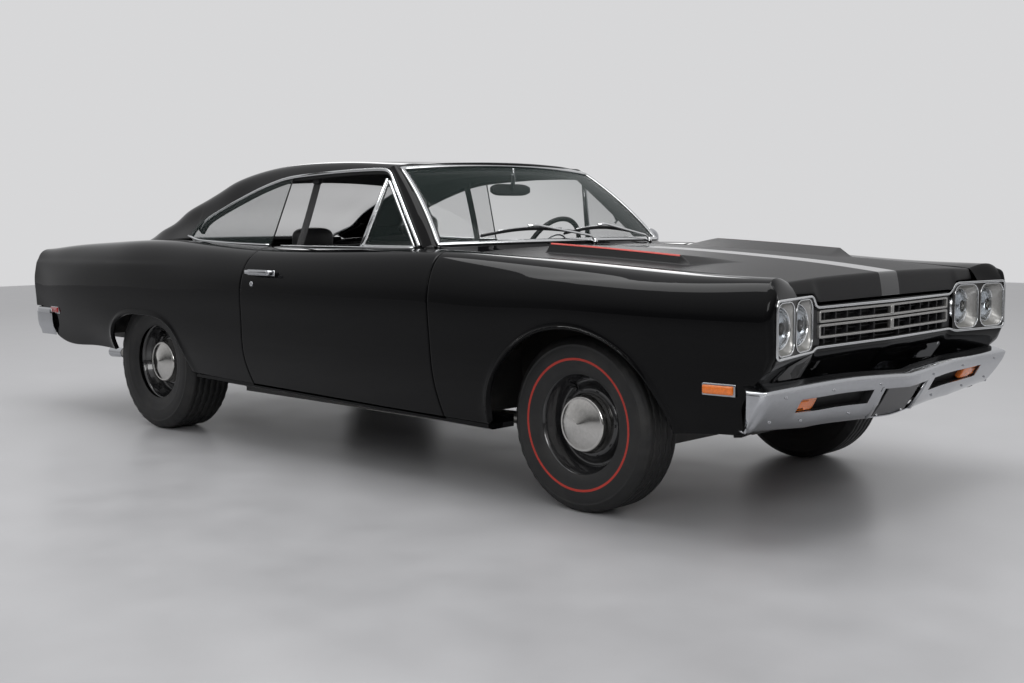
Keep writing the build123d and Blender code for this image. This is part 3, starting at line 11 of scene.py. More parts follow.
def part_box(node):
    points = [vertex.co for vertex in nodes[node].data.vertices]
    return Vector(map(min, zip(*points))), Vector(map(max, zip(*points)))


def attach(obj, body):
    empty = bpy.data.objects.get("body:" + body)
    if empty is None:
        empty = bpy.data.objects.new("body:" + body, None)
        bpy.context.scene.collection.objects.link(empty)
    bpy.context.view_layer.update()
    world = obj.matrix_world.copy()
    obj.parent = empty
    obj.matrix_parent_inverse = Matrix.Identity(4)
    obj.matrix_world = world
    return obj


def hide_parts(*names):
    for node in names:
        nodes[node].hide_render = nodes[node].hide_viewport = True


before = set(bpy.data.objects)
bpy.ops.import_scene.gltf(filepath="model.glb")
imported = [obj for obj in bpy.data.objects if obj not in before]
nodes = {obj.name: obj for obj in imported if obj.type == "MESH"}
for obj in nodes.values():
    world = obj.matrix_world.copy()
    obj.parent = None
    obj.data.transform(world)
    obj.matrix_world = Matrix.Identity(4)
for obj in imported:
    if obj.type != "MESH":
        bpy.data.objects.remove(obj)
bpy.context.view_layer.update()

FA, RA = 1.663, -1.283              # the axles' places along the car
FRONT_R, REAR_R = 0.334, 0.354      # the tyres' radii
HW, HL = 0.9705, 2.5745             # half the width and half the length
GAP = 0.006                         # seams between panels
DOOR_FRONT, DOOR_REAR = FA - 0.698, RA + 0.946
DOOR_LEAN, LEAN_Z = 0.09, 0.64      # how far the door's rear edge leans for each metre above a height
SIDES = (("left", 1), ("right", -1))


# ---- camera, light and stage ---------------------------------------------------------------------
def camera_axes(yaw, pitch, roll):
    """Right, up and forward directions of a camera."""
    a, e, t = radians(yaw), radians(pitch), radians(roll)
    forward = Vector((-sin(a) * cos(e), cos(a) * cos(e), -sin(e)))
    right = Vector((cos(a), sin(a), 0))
    up = right.cross(forward)
    return right * cos(t) + up * sin(t), up * cos(t) - right * sin(t), forward


def add_camera():
    """The photograph's camera."""
    right, up, forward = camera_axes(44.0167, 5.5479, -0.3318)
    data = bpy.data.cameras.new("camera")
    data.sensor_width = 36
    data.lens = 45.7
    data.clip_end = 200
    camera = bpy.data.objects.new("camera", data)
    bpy.context.scene.collection.objects.link(camera)
    turn = Matrix((right, up, -forward)).transposed().to_4x4()
    camera.matrix_world = Matrix.Translation((4.8316, -4.4804, 1.1165)) @ turn
    bpy.context.scene.camera = camera


def add_lamp(name, place, target, size, watts):
    """A soft rectangular lamp that looks at a point."""
    data = bpy.data.lights.new(name, "AREA")
    data.shape = "RECTANGLE"
    data.size, data.size_y = size
    data.energy = watts
    lamp = bpy.data.objects.new(name, data)
    bpy.context.scene.collection.objects.link(lamp)
    lamp.location = place
    lamp.rotation_euler = (Vector(target) - Vector(place)).to_track_quat("-Z", "Y").to_euler()


def add_node(tree, kind, inputs=None, **settings):
    """A shader node. inputs holds a value, or the socket that feeds it, for each of the node's inputs."""
    node = tree.nodes.new("ShaderNode" + kind)
    for key, value in settings.items():
        setattr(node, key, value)
    for key, value in (inputs or {}).items():
        if isinstance(value, bpy.types.NodeSocket):
            tree.links.new(value, node.inputs[key])
        else:
            node.inputs[key].default_value = value
    return node


def grey(level, blue=0.01):
    """A faintly cool grey."""
    return (level, level, level + blue, 1)


def add_world():
    """Surroundings: dim near the floor, brighter overhead, a lit wall on one side, plain to the camera."""
    world = bpy.data.worlds.new("studio")
    bpy.context.scene.world = world
    world.use_nodes = True
    tree = world.node_tree
    tree.nodes.clear()
    way = add_node(tree, "TexCoord").outputs["Generated"]
    height = add_node(tree, "SeparateXYZ", {0: way}).outputs["Z"]
    share = add_node(tree, "Math", {0: height, 1: 0.5, 2: 0.5}, operation="MULTIPLY_ADD")
    ramp = add_node(tree, "ValToRGB", {0: share.outputs[0]})
    low, high = ramp.color_ramp.elements
    low.position, low.color = 0.0, grey(0.2)
    high.position, high.color = 1.0, grey(0.95)
    for at, level in ((0.495, 0.07), (0.53, 0.1), (0.58, 0.3), (0.68, 0.55), (0.82, 0.8)):
        ramp.color_ramp.elements.new(at).color = grey(level, level * 0.01)
    wall = add_node(tree, "VectorMath", {0: way, 1: (-0.72, 0.69, 0.0)}, operation="DOT_PRODUCT")
    near = add_node(tree, "MapRange", {"From Min": -0.15, "From Max": 0.55, "Value": wall.outputs["Value"]})
    lit = add_node(tree, "Mix", {"Factor": near.outputs[0], "A": ramp.outputs[0], "B": grey(0.74)},
                   data_type="RGBA")
    seen = add_node(tree, "LightPath").outputs["Is Camera Ray"]
    mix = add_node(tree, "Mix", {"Factor": seen, "A": lit.outputs["Result"], "B": grey(0.8)}, data_type="RGBA")
    back = add_node(tree, "Background", {"Color": mix.outputs["Result"], "Strength": 0.85})
    add_node(tree, "OutputWorld", {0: back.outputs[0]})


bpy.context.scene.view_settings.view_transform = "Standard"
add_camera()
add_world()
add_lamp("overhead", (0.3, -0.6, 5.2), (0, 0, 0), (6.5, 3.2), 210)
add_lamp("front_side", (6.5, -5.5, 3.6), (0.6, 0, 0.6), (3.5, 2.5), 130)
add_lamp("back_side", (-5.5, 5.5, 4.2), (0, 0, 0.6), (5.0, 2.5), 110)


# ---- materials -----------------------------------------------------------------------------------
def material(name, colour, rough, vary, scale, bump=0.0, bump_scale=400.0, metal=0.0, coat=0.0, coat_rough=0.03,
             rough_vary=0.15, sheen=0.0, alpha=None, dust=0.0, pattern="noise", transmission=0.0, ior=1.5,
             specular=0.5, coat_ior=1.5):
    """A surface whose colour, roughness and height vary at the scale of the real thing.

    vary and rough_vary are shares; scale and bump_scale are in repeats to the metre.
    """
    mat = bpy.data.materials.new(name)
    mat.use_nodes = True
    tree = mat.node_tree
    shader = tree.nodes["Principled BSDF"]

    def feed(socket, source):
        tree.links.new(source, shader.inputs[socket])

    place = add_node(tree, "TexCoord").outputs["Object"]
    spot = add_node(tree, "Mapping", {"Vector": place}).outputs[0]
    noise = add_node(tree, "TexNoise", {"Vector": spot, "Scale": scale, "Detail": 6}).outputs["Fac"]
    ramp = add_node(tree, "ValToRGB", {0: noise})
    for end, at, change in zip(ramp.color_ramp.elements, (0.3, 0.7), (1 - vary, 1 + vary)):
        end.position, end.color = at, [min(1, c * change) for c in colour] + [1]
    tint = ramp.outputs[0]
    if dust:
        fine = add_node(tree, "TexNoise", {"Vector": place, "Scale": scale * 0.12, "Detail": 9})
        cover = add_node(tree, "MapRange", {"Value": fine.outputs["Fac"], "From Min": 0.45, "From Max": 0.75,
                                            "To Max": dust})
        tint = add_node(tree, "Mix", {"Factor": cover.outputs[0], "A": tint, "B": (0.16, 0.145, 0.125, 1)},
                        data_type="RGBA").outputs["Result"]
    feed("Base Color", tint)
    feed("Roughness", add_node(tree, "MapRange", {"Value": noise, "To Min": max(0.0, rough * (1 - rough_vary)),
                                                  "To Max": min(1.0, rough * (1 + rough_vary))}).outputs[0])
    for key, value in {"Metallic": metal, "Coat Weight": coat, "Coat Roughness": coat_rough,
                       "Coat IOR": coat_ior, "IOR": ior, "Specular IOR Level": specular,
                       "Transmission Weight": transmission}.items():
        shader.inputs[key].default_value = value
    if sheen:
        shader.inputs["Sheen Weight"].default_value = sheen
        shader.inputs["Sheen Roughness"].default_value = 0.5
    if bump:
        at = {"Vector": spot, "Scale": bump_scale}
        if pattern == "noise":
            height = add_node(tree, "TexNoise", {**at, "Detail": 4}).outputs["Fac"]
        elif pattern == "cells":
            height = add_node(tree, "TexVoronoi", at, feature="DISTANCE_TO_EDGE").outputs["Distance"]
        else:
            height = add_node(tree, "TexWave", {**at, "Distortion": 0.3}).outputs["Fac"]
        feed("Normal", add_node(tree, "Bump", {"Height": height, "Strength": bump,
                                               "Distance": 0.001}).outputs[0])
    if alpha is not None:
        slant = add_node(tree, "LayerWeight", {"Blend": 0.35}).outputs["Facing"]
        power = add_node(tree, "Math", {0: slant, 1: 3.0}, operation="POWER").outputs[0]
        feed("Alpha", add_node(tree, "MapRange", {"Value": power, "To Min": alpha, "To Max": 0.85}).outputs[0])
    return mat


PAINT = material("gloss_black_paint", (0.0038, 0.0038, 0.0042), 0.3, 0.12, 900, 0.012, 260, specular=0.0,
                 coat=1.0, coat_ior=1.24, coat_rough=0.012)
STRIPE = material("gloss_black_stripe", (0.006, 0.006, 0.0066), 0.12, 0.12, 900, 0.012, 260, specular=0.5,
                  coat=1.0, coat_rough=0.02)
MATTE = material("matte_black_paint", (0.011, 0.0107, 0.0113), 0.44, 0.18, 1400, 0.1, 2200, specular=0.24)
CHROME = material("chrome", (0.5, 0.51, 0.53), 0.05, 0.03, 60, metal=1.0, rough_vary=0.5)
TRIM = material("bright_trim", (0.72, 0.73, 0.74), 0.14, 0.05, 120, metal=1.0, rough_vary=0.4)
ARGENT = material("argent_paint", (0.46, 0.455, 0.44), 0.34, 0.1, 160, 0.05, 900, metal=0.85)
RUBBER = material("tyre_rubber", (0.01, 0.01, 0.0105), 0.58, 0.22, 70, 0.25, 700, dust=0.07)
RED_LINE = material("redline_rubber", (0.42, 0.03, 0.018), 0.55, 0.12, 150, 0.2, 700)
WHEEL_PAINT = material("wheel_black", (0.01, 0.01, 0.011), 0.22, 0.15, 300, 0.02, 300, coat=1.0,
                       coat_rough=0.04)
CAP = material("polished_cap", (0.58, 0.57, 0.55), 0.15, 0.08, 90, metal=1.0, rough_vary=0.45)
RUST = material("bare_iron", (0.2, 0.17, 0.15), 0.55, 0.35, 60, 0.3, 400, metal=0.8)
VINYL = material("black_vinyl", (0.02, 0.02, 0.021), 0.46, 0.18, 160, 0.35, 520, pattern="cells")
PLASTIC = material("black_plastic", (0.022, 0.022, 0.024), 0.45, 0.15, 200, 0.18, 900)
CARPET = material("black_carpet", (0.016, 0.016, 0.017), 0.95, 0.45, 900, 0.9, 1300, sheen=0.3)
CHASSIS = material("chassis_black", (0.018, 0.018, 0.018), 0.48, 0.3, 30, 0.25, 160, dust=0.35)
STEEL = material("exhaust_steel", (0.42, 0.41, 0.39), 0.36, 0.22, 26, 0.12, 300, metal=1.0)
ORANGE = material("engine_orange", (0.62, 0.085, 0.018), 0.38, 0.1, 60, 0.2, 260, coat=0.3)
CRINKLE = material("black_crinkle", (0.015, 0.015, 0.016), 0.55, 0.2, 300, 0.8, 900)
SEAL = material("rubber_seal", (0.01, 0.01, 0.011), 0.6, 0.25, 200, 0.2, 900)
GLASS = material("window_glass", (0.03, 0.05, 0.046), 0.01, 0.05, 8, rough_vary=0.2, alpha=0.1)
LENS = material("clear_lens", (0.9, 0.93, 0.95), 0.03, 0.03, 80, 0.35, 150, pattern="wave", transmission=1.0,
                ior=1.45)
AMBER = material("amber_lens", (0.9, 0.2, 0.012), 0.16, 0.12, 140, 0.5, 160, pattern="wave", coat=1.0)
RED_LENS = material("red_lens", (0.42, 0.012, 0.01), 0.14, 0.12, 140, 0.5, 160, pattern="wave", coat=1.0)
RED_PAINT = material("red_stripe", (0.5, 0.03, 0.018), 0.42, 0.1, 300, 0.05, 900)
WEBBING = material("belt_webbing", (0.016, 0.016, 0.017), 0.62, 0.2, 500, 0.8, 420, pattern="wave", sheen=0.3)
PLATE = material("blank_plate", (0.02, 0.02, 0.022), 0.35, 0.15, 120, coat=0.5)
HEADLINER = material("headliner", (0.045, 0.045, 0.046), 0.8, 0.2, 300, 0.4, 900, pattern="cells")
FLOOR = material("studio_floor", (0.42, 0.42, 0.43), 0.32, 0.05, 3, rough_vary=0.25)


# ---- mesh helpers --------------------------------------------------------------------------------
def climb(distance, width):
    """0 up to a place, then evenly up to 1 over a width."""
    return min(1, max(0, distance / width))


def unit(vectors):
    """The same directions with a length of 1."""
    return vectors / np.maximum(np.linalg.norm(vectors, axis=-1, keepdims=True), 1e-9)


def add_bevel(piece, width, segments=3, degrees=32):
    """Rounds a piece's sharp edges."""
    modifier = piece.modifiers.new("bevel", "BEVEL")
    modifier.width = width
    modifier.segments = segments
    modifier.limit_method = "ANGLE"
    modifier.angle_limit = radians(degrees)
    return modifier


def thicken(piece, thickness, offset=0):
    """Gives a sheet its thickness."""
    modifier = piece.modifiers.new("thickness", "SOLIDIFY")
    modifier.thickness = thickness
    modifier.offset = offset


def add_mesh(name, points, faces, mats, body="body", smooth=True, slots=(), bevel=0.0, replaces=()):
    """A mesh piece that rides on a body. slots holds each face's material number."""
    data = bpy.data.meshes.new(name)
    data.from_pydata([tuple(map(float, p)) for p in points], [], [tuple(map(int, f)) for f in faces])
    for mat in mats if isinstance(mats, list) else [mats]:
        data.materials.append(mat)
    if slots:
        data.polygons.foreach_set("material_index", slots)
    data.polygons.foreach_set("use_smooth", [smooth] * len(data.polygons))
    data.update()
    piece = bpy.data.objects.new(name, data)
    bpy.context.scene.collection.objects.link(piece)
    if bevel:
        add_bevel(piece, bevel).harden_normals = True
    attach(piece, body)
    if replaces:
        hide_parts(*replaces)
    return piece


def grid_faces(rows, cols, around=False, across=False):
    """Quads over a grid of points held row by row; around closes its rows and across its columns."""
    return [(a * cols + c, a * cols + (c + 1) % cols, (a + 1) % rows * cols + (c + 1) % cols,
             (a + 1) % rows * cols + c) for a in range(rows if around else rows - 1)
            for c in range(cols if across else cols - 1)]


def sheet(name, grid, mat, body="body", thick=0.0, around=False, across=False, caps=False, **options):
    """A plain mesh over a grid of points; caps closes its two ends."""
    grid = array(grid, float)
    rows, cols = grid.shape[:2]
    faces = grid_faces(rows, cols, around, across)
    if caps:
        faces += [tuple(range(cols)), tuple(range((rows - 1) * cols, rows * cols))[::-1]]
    piece = add_mesh(name, grid.reshape(-1, 3), faces, mat, body, **options)
    if thick:
        thicken(piece, thick)
    return piece


def normals_of(grid):
    """Unit normals of a grid of points."""
    return unit(np.cross(np.gradient(grid, axis=0), np.gradient(grid, axis=1)))


def skin(name, grid, mat, inward, body="body", depth=0.014, edges="abcd", **options):
    """A sheet-metal panel: a fine grid whose edges round over and turn in by depth.

    inward is a point on the panel's inner side. edges names the grid's sides that turn in:
    a the first column, b the last column, c the first row, d the last row.
    """
    grid = array(grid, float)
    normal = normals_of(grid)
    centre = (grid.shape[0] // 2, grid.shape[1] // 2)
    if np.dot(normal[centre], array(inward) - grid[centre]) > 0:
        normal = -normal
    soften = 0.0012
    for letter, axis, last in (("a", 0, False), ("b", 0, True), ("c", 1, False), ("d", 1, True)):
        if letter not in edges:
            continue
        g, n = np.swapaxes(grid, 0, axis), np.swapaxes(normal, 0, axis)
        if last:
            g, n = g[::-1], n[::-1]
        away, out = unit(g[0] - g[1]), n[0]
        step = min(0.004, 0.5 * float(np.linalg.norm(g[0] - g[1], axis=1).mean()))
        g = np.concatenate(([g[0] - out * depth, g[0] - out * (soften + 0.0006),
                             g[0] - out * soften - away * 0.0007, g[0] - away * step, g[0] - away * step * 2],
                            g[1:]))
        n = np.concatenate(([out] * 4, n))
        if last:
            g, n = g[::-1], n[::-1]
        grid, normal = np.swapaxes(g, 0, axis), np.swapaxes(n, 0, axis)
    return sheet(name, grid, mat, body, **options)


def natural(xs, ys):
    """A natural cubic spline through ys, which may be an array of any shape, at xs."""
    xs, ys = array(xs, float), array(ys, float)
    n = len(xs)
    h = np.diff(xs)
    system, right = np.eye(n), np.zeros_like(ys)
    for i in range(1, n - 1):
        system[i, i - 1:i + 2] = h[i - 1], 2 * (h[i - 1] + h[i]), h[i]
        right[i] = 6 * ((ys[i + 1] - ys[i]) / h[i] - (ys[i] - ys[i - 1]) / h[i - 1])
    bend = np.linalg.solve(system, right.reshape(n, -1)).reshape(ys.shape)

    def at(x, pick=None):
        """The value at x, or with pick the value of member pick[k] at x[k]."""
        x = clip(np.asarray(x, float), xs[0], xs[-1])
        i = clip(np.searchsorted(xs, x) - 1, 0, n - 2)
        a = (xs[i + 1] - x) / h[i]
        b = 1 - a
        w = h[i] ** 2 / 6
        low, high = (i, i + 1) if pick is None else ((i, pick), (i + 1, pick))
        shape = np.shape(x) + (1,) * (ys[low].ndim - np.ndim(x))
        a, b, w = (np.reshape(v, shape) for v in (a, b, w))
        return a * ys[low] + b * ys[high] + ((a ** 3 - a) * bend[low] + (b ** 3 - b) * bend[high]) * w
    return at


def curve(points, count):
    """count points on a smooth line through the given ones."""
    points = array(points, float)
    run = np.concatenate(([0], np.cumsum(np.linalg.norm(np.diff(points, axis=0), axis=1))))
    return natural(run / run[-1], points)(linspace(0, 1, count))


def sweep(name, path, section, mat, body="body", up=(0, 0, 1), closed=False, **options):
    """A bar along a path.

    The section is a loop of (side, up) points, a list of one such loop for each point of the path, or the
    width, height, corner radius and corner steps of a rounded rectangle.
    """
    path = array(path, float)
    along = unit(np.roll(path, -1, 0) - np.roll(path, 1, 0) if closed else np.gradient(path, axis=0))
    side = unit(np.cross(along, up))
    top = np.cross(side, along)
    section = array(rounded(*section) if np.ndim(section) == 1 else section, float)
    many = section if section.ndim == 3 else np.repeat(section[None], len(path), 0)
    grid = path[:, None] + side[:, None] * many[:, :, :1] + top[:, None] * many[:, :, 1:]
    rows, cols = grid.shape[:2]
    faces = grid_faces(rows, cols, around=closed, across=True)
    if not closed:
        faces += [tuple(range(cols))[::-1], tuple(range((rows - 1) * cols, rows * cols))]
    return add_mesh(name, grid.reshape(-1, 3), faces, mat, body, **options)


def ring(radius, count=12, high=None):
    """A round or oval section."""
    high = high or radius
    return [(radius * cos(tau * k / count), high * sin(tau * k / count)) for k in range(count)]


def rounded(width, height, radius, count=4):
    """A rectangle with round corners, centred."""
    points = []
    for cx, cy, start in ((1, 1, 0), (-1, 1, 90), (-1, -1, 180), (1, -1, 270)):
        for k in range(count + 1):
            a = radians(start + 90 * k / count)
            points.append((cx * (width / 2 - radius) + radius * cos(a), cy * (height / 2 - radius)
                           + radius * sin(a)))
    return points


def lathe(name, outline, centre, mats, body, count=96, side=1, slots=(), **options):
    """A turned piece about an axis along Y. The outline holds (outboard offset, radius)."""
    turns = [tau * k / count for k in range(count)]
    grid = [[(centre[0] + r * cos(a), centre[1] + side * offset, centre[2] + r * sin(a)) for a in turns]
            for offset, r in outline]
    return sheet(name, grid, mats, body, across=True, slots=[slot for slot in slots for _ in turns], **options)


def solid_box(name, low, high, mat, body="body", bevel=0.004, **options):
    """A box with rounded edges."""
    (x0, y0, z0), (x1, y1, z1) = low, high
    points = [(x, y, z) for x in (x0, x1) for y in (y0, y1) for z in (z0, z1)]
    faces = [(0, 1, 3, 2), (4, 6, 7, 5), (0, 4, 5, 1), (2, 3, 7, 6), (0, 2, 6, 4), (1, 5, 7, 3)]
    return add_mesh(name, points, faces, mat, body, bevel=bevel, **options)


def stud(name, at, way, steps, mat, body="body", count=14, **options):
    """A turned piece that stands out from a point. steps holds (distance, radius)."""
    at, way, steps = array(at, float), array(way, float), list(steps)
    return sweep(name, [at + way * d for d, _ in steps], [ring(r, count) for _, r in steps], mat, body,
                 **options)


def filled(loops):
    """Points and faces of a surface that fills one loop and leaves the others open."""
    mesh = bmesh.new()
    edges = []
    for loop in loops:
        verts = [mesh.verts.new(p) for p in loop]
        edges += [mesh.edges.new((verts[k], verts[(k + 1) % len(verts)])) for k in range(len(verts))]
    bmesh.ops.triangle_fill(mesh, use_beauty=True, edges=edges)
    mesh.verts.index_update()
    points, faces = [v.co[:] for v in mesh.verts], [[v.index for v in f.verts] for f in mesh.faces]
    mesh.free()
    return points, faces


def add_floor():
    """A plain pale floor."""
    size = 16.0
    data = bpy.data.meshes.new("floor")
    data.from_pydata([(-size, -size, 0), (size, -size, 0), (size, size, 0), (-size, size, 0)], [],
                     [(0, 1, 2, 3)])
    data.materials.append(FLOOR)
    floor = bpy.data.objects.new("floor", data)
    bpy.context.scene.collection.objects.link(floor)


add_floor()


# ---- body sides ----------------------------------------------------------------------------------
# Each row: place along the car, then (inset from the widest width, height) in mm of the hem, the tuck,
# the widest line, the shoulder, the crest and the inner top edge.
SIDE_ROWS = (
    (-2.56, (75, 600), (70, 680), (68, 780), (85, 850), (110, 906), (325, 895)),
    (-2.3, (75, 435), (60, 560), (45, 680), (65, 860), (110, 929), (325, 925)),
    (-1.9, (75, 405), (45, 500), (20, 650), (40, 875), (110, 956), (325, 955)),
    (-1.5, (80, 385), (35, 470), (8, 640), (25, 885), (90, 972), (260, 985)),
    (-1.1, (85, 345), (28, 460), (2, 640), (20, 885), (85, 972), (225, 1000)),
    (-0.7, (85, 324), (26, 450), (0, 640), (15, 885), (70, 957), (185, 986)),
    (-0.345, (85, 318), (26, 450), (0, 640), (15, 885), (70, 948), (180, 976)),
    (0.314, (85, 307), (25, 450), (0, 640), (15, 885), (70, 955), (182, 974)),
    (0.973, (85, 297), (28, 450), (4, 640), (15, 880), (70, 958), (224, 968)),
    (1.25, (85, 293), (30, 450), (8, 640), (20, 870), (76, 945), (232, 957)),
    (1.695, (80, 290), (35, 450), (15, 650), (25, 860), (86, 921), (246, 936)),
    (2.2, (90, 365), (55, 480), (35, 650), (45, 845), (100, 893), (268, 906)),
    (2.505, (110, 377), (85, 480), (70, 650), (75, 840), (110, 886), (281, 888)),
)
SIDE_STEPS, SIDE_RISING = 260, 170          # points of a section, and how many of them surely rise
ALL = np.arange(SIDE_STEPS)
side_at = natural([row[0] for row in SIDE_ROWS], [
    curve([(HW - inset / 1000, z / 1000) for inset, z in row[1:]], SIDE_STEPS) for row in SIDE_ROWS])


def ridge(x, z):
    """Height of the pressed creases of the side: one on the fender, one on the quarter."""
    front = clip((x - 1.15) / 0.5, 0, 1) * clip((2.42 - x) / 0.35, 0, 1)
    rear = clip((-0.6 - x) / 0.9, 0, 1)
    line = np.where(x > 0, 0.878 - 0.012 * clip(x - 1.9, 0, 1), 0.881 - 0.0125 * clip(-0.83 - x, 0, 2))
    away = z - line
    shape = np.exp(-(np.where(away > 0, away / 0.01, away / 0.034)) ** 2)
    return (0.0032 * front + 0.004 * rear) * shape


def leaned(x, z):
    """A place along the car that follows the door's leaning rear edge."""
    return x + DOOR_LEAN * (z - LEAN_Z)


def column(x0, lean=0.0):
    """The side's section at a place, whose line may lean along the car."""
    x = np.full(SIDE_STEPS, x0)
    for _ in range(3 if lean else 1):
        yz = side_at(x, ALL)
        x = x0 + lean * (yz[:, 1] - LEAN_Z)
    out = np.column_stack((x, yz))
    out[:, 1] += ridge(x, out[:, 2])
    return out


def cut_column(points, low, rows):
    """A section from a height upwards, in even steps of its own measure."""
    start = float(interp(low, points[:180, 2], ALL[:180])) if low > points[0, 2] else 0.0
    at = linspace(start, SIDE_STEPS - 1, rows)
    return np.column_stack([interp(at, ALL, points[:, k]) for k in range(3)])


def hem_height(x):
    """Height of the side's lower edge."""
    return float(side_at(array([x, x]), array([0, 0]))[0, 1])


def arch_points(kind):
    """(place, height) of a wheel arch's edge above the hem, from its rear foot to its front foot."""
    if kind == "front":                                  # a circle
        turns = [pi * (1 - k / 60) for k in range(61)]
        points = [(FA + 0.032 + 0.468 * cos(a), 0.235 + 0.468 * sin(a)) for a in turns]
    else:                                                # a squared oval
        turns = [pi / 2 * (1 + cos(pi * k / 80)) for k in range(81)]
        power = 2 / 3.1
        points = [(RA + 0.016 + 0.385 * abs(cos(a)) ** power * (1 if cos(a) > 0 else -1),
                   0.25 + 0.362 * max(0.0, sin(a)) ** power) for a in turns]
    kept = [p for p in points if p[1] > hem_height(p[0]) + 0.004]
    first, last = kept[0], kept[-1]
    return [(first[0] - 0.0006, hem_height(first[0]))] + kept + [(last[0] + 0.0006, hem_height(last[0]))]


def flare(grid, edge):
    """Presses a rolled lip outwards along an arch's edge."""
    edge = array(edge)
    flat = grid.reshape(-1, 3)
    near = np.min(np.hypot(flat[:, None, 0] - edge[None, :, 0], flat[:, None, 2] - edge[None, :, 1]), axis=1)
    flat[:, 1] += 0.0055 * np.exp(-(near / 0.016) ** 2)
    return flat.reshape(grid.shape)


def side_grid(start, end, start_lean, end_lean, arch=None, tail=False):
    """A side panel's grid from its rear edge to its front edge. A tail's hem rises behind the rear wheel."""
    edge = arch_points(arch) if arch else []
    spans = [(start, edge[0][0] - 0.004), (edge[-1][0] + 0.004, end)] if edge else [(start, end)]
    places = list(edge)
    for low, high in spans:
        for x in linspace(low, high, max(8, int((high - low) / 0.022))):
            places.append((x, 0.435 + 0.167 * min(1, (-2.305 - x) / 0.16) if tail and x < -2.305 else 0.0))
    places.sort(key=lambda p: p[0])
    grid = []
    for x, low in places:
        share = (x - start) / (end - start)
        lean = start_lean * (1 - share) ** 3 + end_lean * share ** 3
        grid.append(cut_column(column(x, 0 if abs(lean) < 0.001 else lean), low, 64))
    grid = array(grid)
    return flare(grid, edge[1:-1]) if edge else grid


def both_sides(name, grid, body="body", **options):
    """A skin for the left side and its mirror image. Each replaces the CAD node of its side."""
    replaces = options.pop("replaces")
    for side, sign in SIDES:
        skin(f"{name}_{side}_skin", grid * (1, sign, 1), PAINT, (0.3 if name == "fender" else 0, 0, 0.5),
             body.format(side), replaces=[replaces.format(side)], **options)


def fender_points():
    """The fender's grid, its top drawn back at the nose to meet the hood's front crease."""
    grid = side_grid(DOOR_FRONT + GAP, 2.505, 0, 0.05, "front")
    for point in grid.reshape(-1, 3):
        x, y, z = point
        if x > 2.4 and z > 0.8:
            crease = 2.457 + 0.04 * climb(y - 0.69, 0.17)
            blend = climb(z - 0.8, 0.085)
            point[0] = x - (x - 2.4) / 0.117 * (2.517 - crease) * blend * blend
        elif x > 2.25 and z < 0.6:
            blend = min(1, (0.6 - z) / 0.1)
            point[0] = x - (x - 2.25) / 0.25 * 0.085 * blend * blend * (3 - 2 * blend)
    return grid


fender_grid = fender_points()
both_sides("fender", fender_grid, edges="acd", depth=0.022, replaces="fender_{}")


def swing_edge(grid):
    """Draws the inner part of the gap behind the door forward along the arc that the door's edge swings on."""
    reach, hinge_y, hinge_reach = 0.16, 0.9405, 1.185
    for point in grid.reshape(-1, 3):
        weight = max(0, 1 - abs(point[0] - leaned(DOOR_REAR, point[2])) / reach)
        point[0] += weight * max(0, hinge_y - point[1]) ** 2 / (2 * hinge_reach)
    return grid


both_sides("quarter", swing_edge(side_grid(-2.558, DOOR_REAR - GAP, 0, DOOR_LEAN, "rear", tail=True)),
           depth=0.022, replaces="quarter_panel_{}")
door_grid = swing_edge(side_grid(DOOR_REAR, DOOR_FRONT, DOOR_LEAN, 0))
both_sides("door", door_grid, "door_{}", depth=0.03, replaces="door_{}")


# ---- hood ----------------------------------------------------------------------------------------
HOOD_XS = (1.008, 1.463, 1.913, 2.263, 2.455)
hood_edge_z = natural(HOOD_XS, (0.963, 0.944, 0.922, 0.902, 0.887))
hood_mid_z = natural(HOOD_XS, (0.984, 0.974, 0.95, 0.922, 0.9))
hood_line = natural([FA + x for x in (-0.69, -0.413, 0.032, 0.537, 0.842)], (0.224, 0.232, 0.246, 0.268, 0.281))
STRIPE_HALF = 0.068
SCOOP_OUT, SCOOP_WALL, SCOOP_IN, SCOOP_HIGH = 0.578, 0.016, 0.335, 0.034


def hood_half(x):
    """Half the hood's width."""
    return HW - float(hood_line(x)) - 0.0075


def scoop_height(x, y):
    """How far a scoop stands over the hood."""
    y = abs(y)
    nose = 1.985 + (SCOOP_OUT - y) * 0.34
    length = climb(nose - x, 0.055) * climb(x - 1.262, 0.016)
    if y > SCOOP_OUT:
        across = max(0, 1 - (y - SCOOP_OUT) / SCOOP_WALL)
    else:
        across = max(0, (y - SCOOP_IN) / (SCOOP_OUT - SCOOP_IN))
    return SCOOP_HIGH * length * across * (1.15 - 0.15 * climb(x - 1.3, 0.6))


def hood_point(x, y, half):
    """A point of the hood's top."""
    edge, middle = float(hood_edge_z(x)), float(hood_mid_z(x))
    share = abs(y) / half
    crown = 1 - 0.55 * share ** 2 - 0.45 * share ** 4
    return (x, y, edge + (middle - edge) * crown + scoop_height(x, y))


def even(a, b, count):
    """Even steps from a up to but not including b."""
    return list(linspace(a, b, count, endpoint=False))


def hood_lip(y):
    """Height of the front face's lower edge, which steps up over the lamps."""
    share = climb(abs(y) - 0.505, 0.045)
    return 0.811 + 0.033 * share * share * (3 - 2 * share)


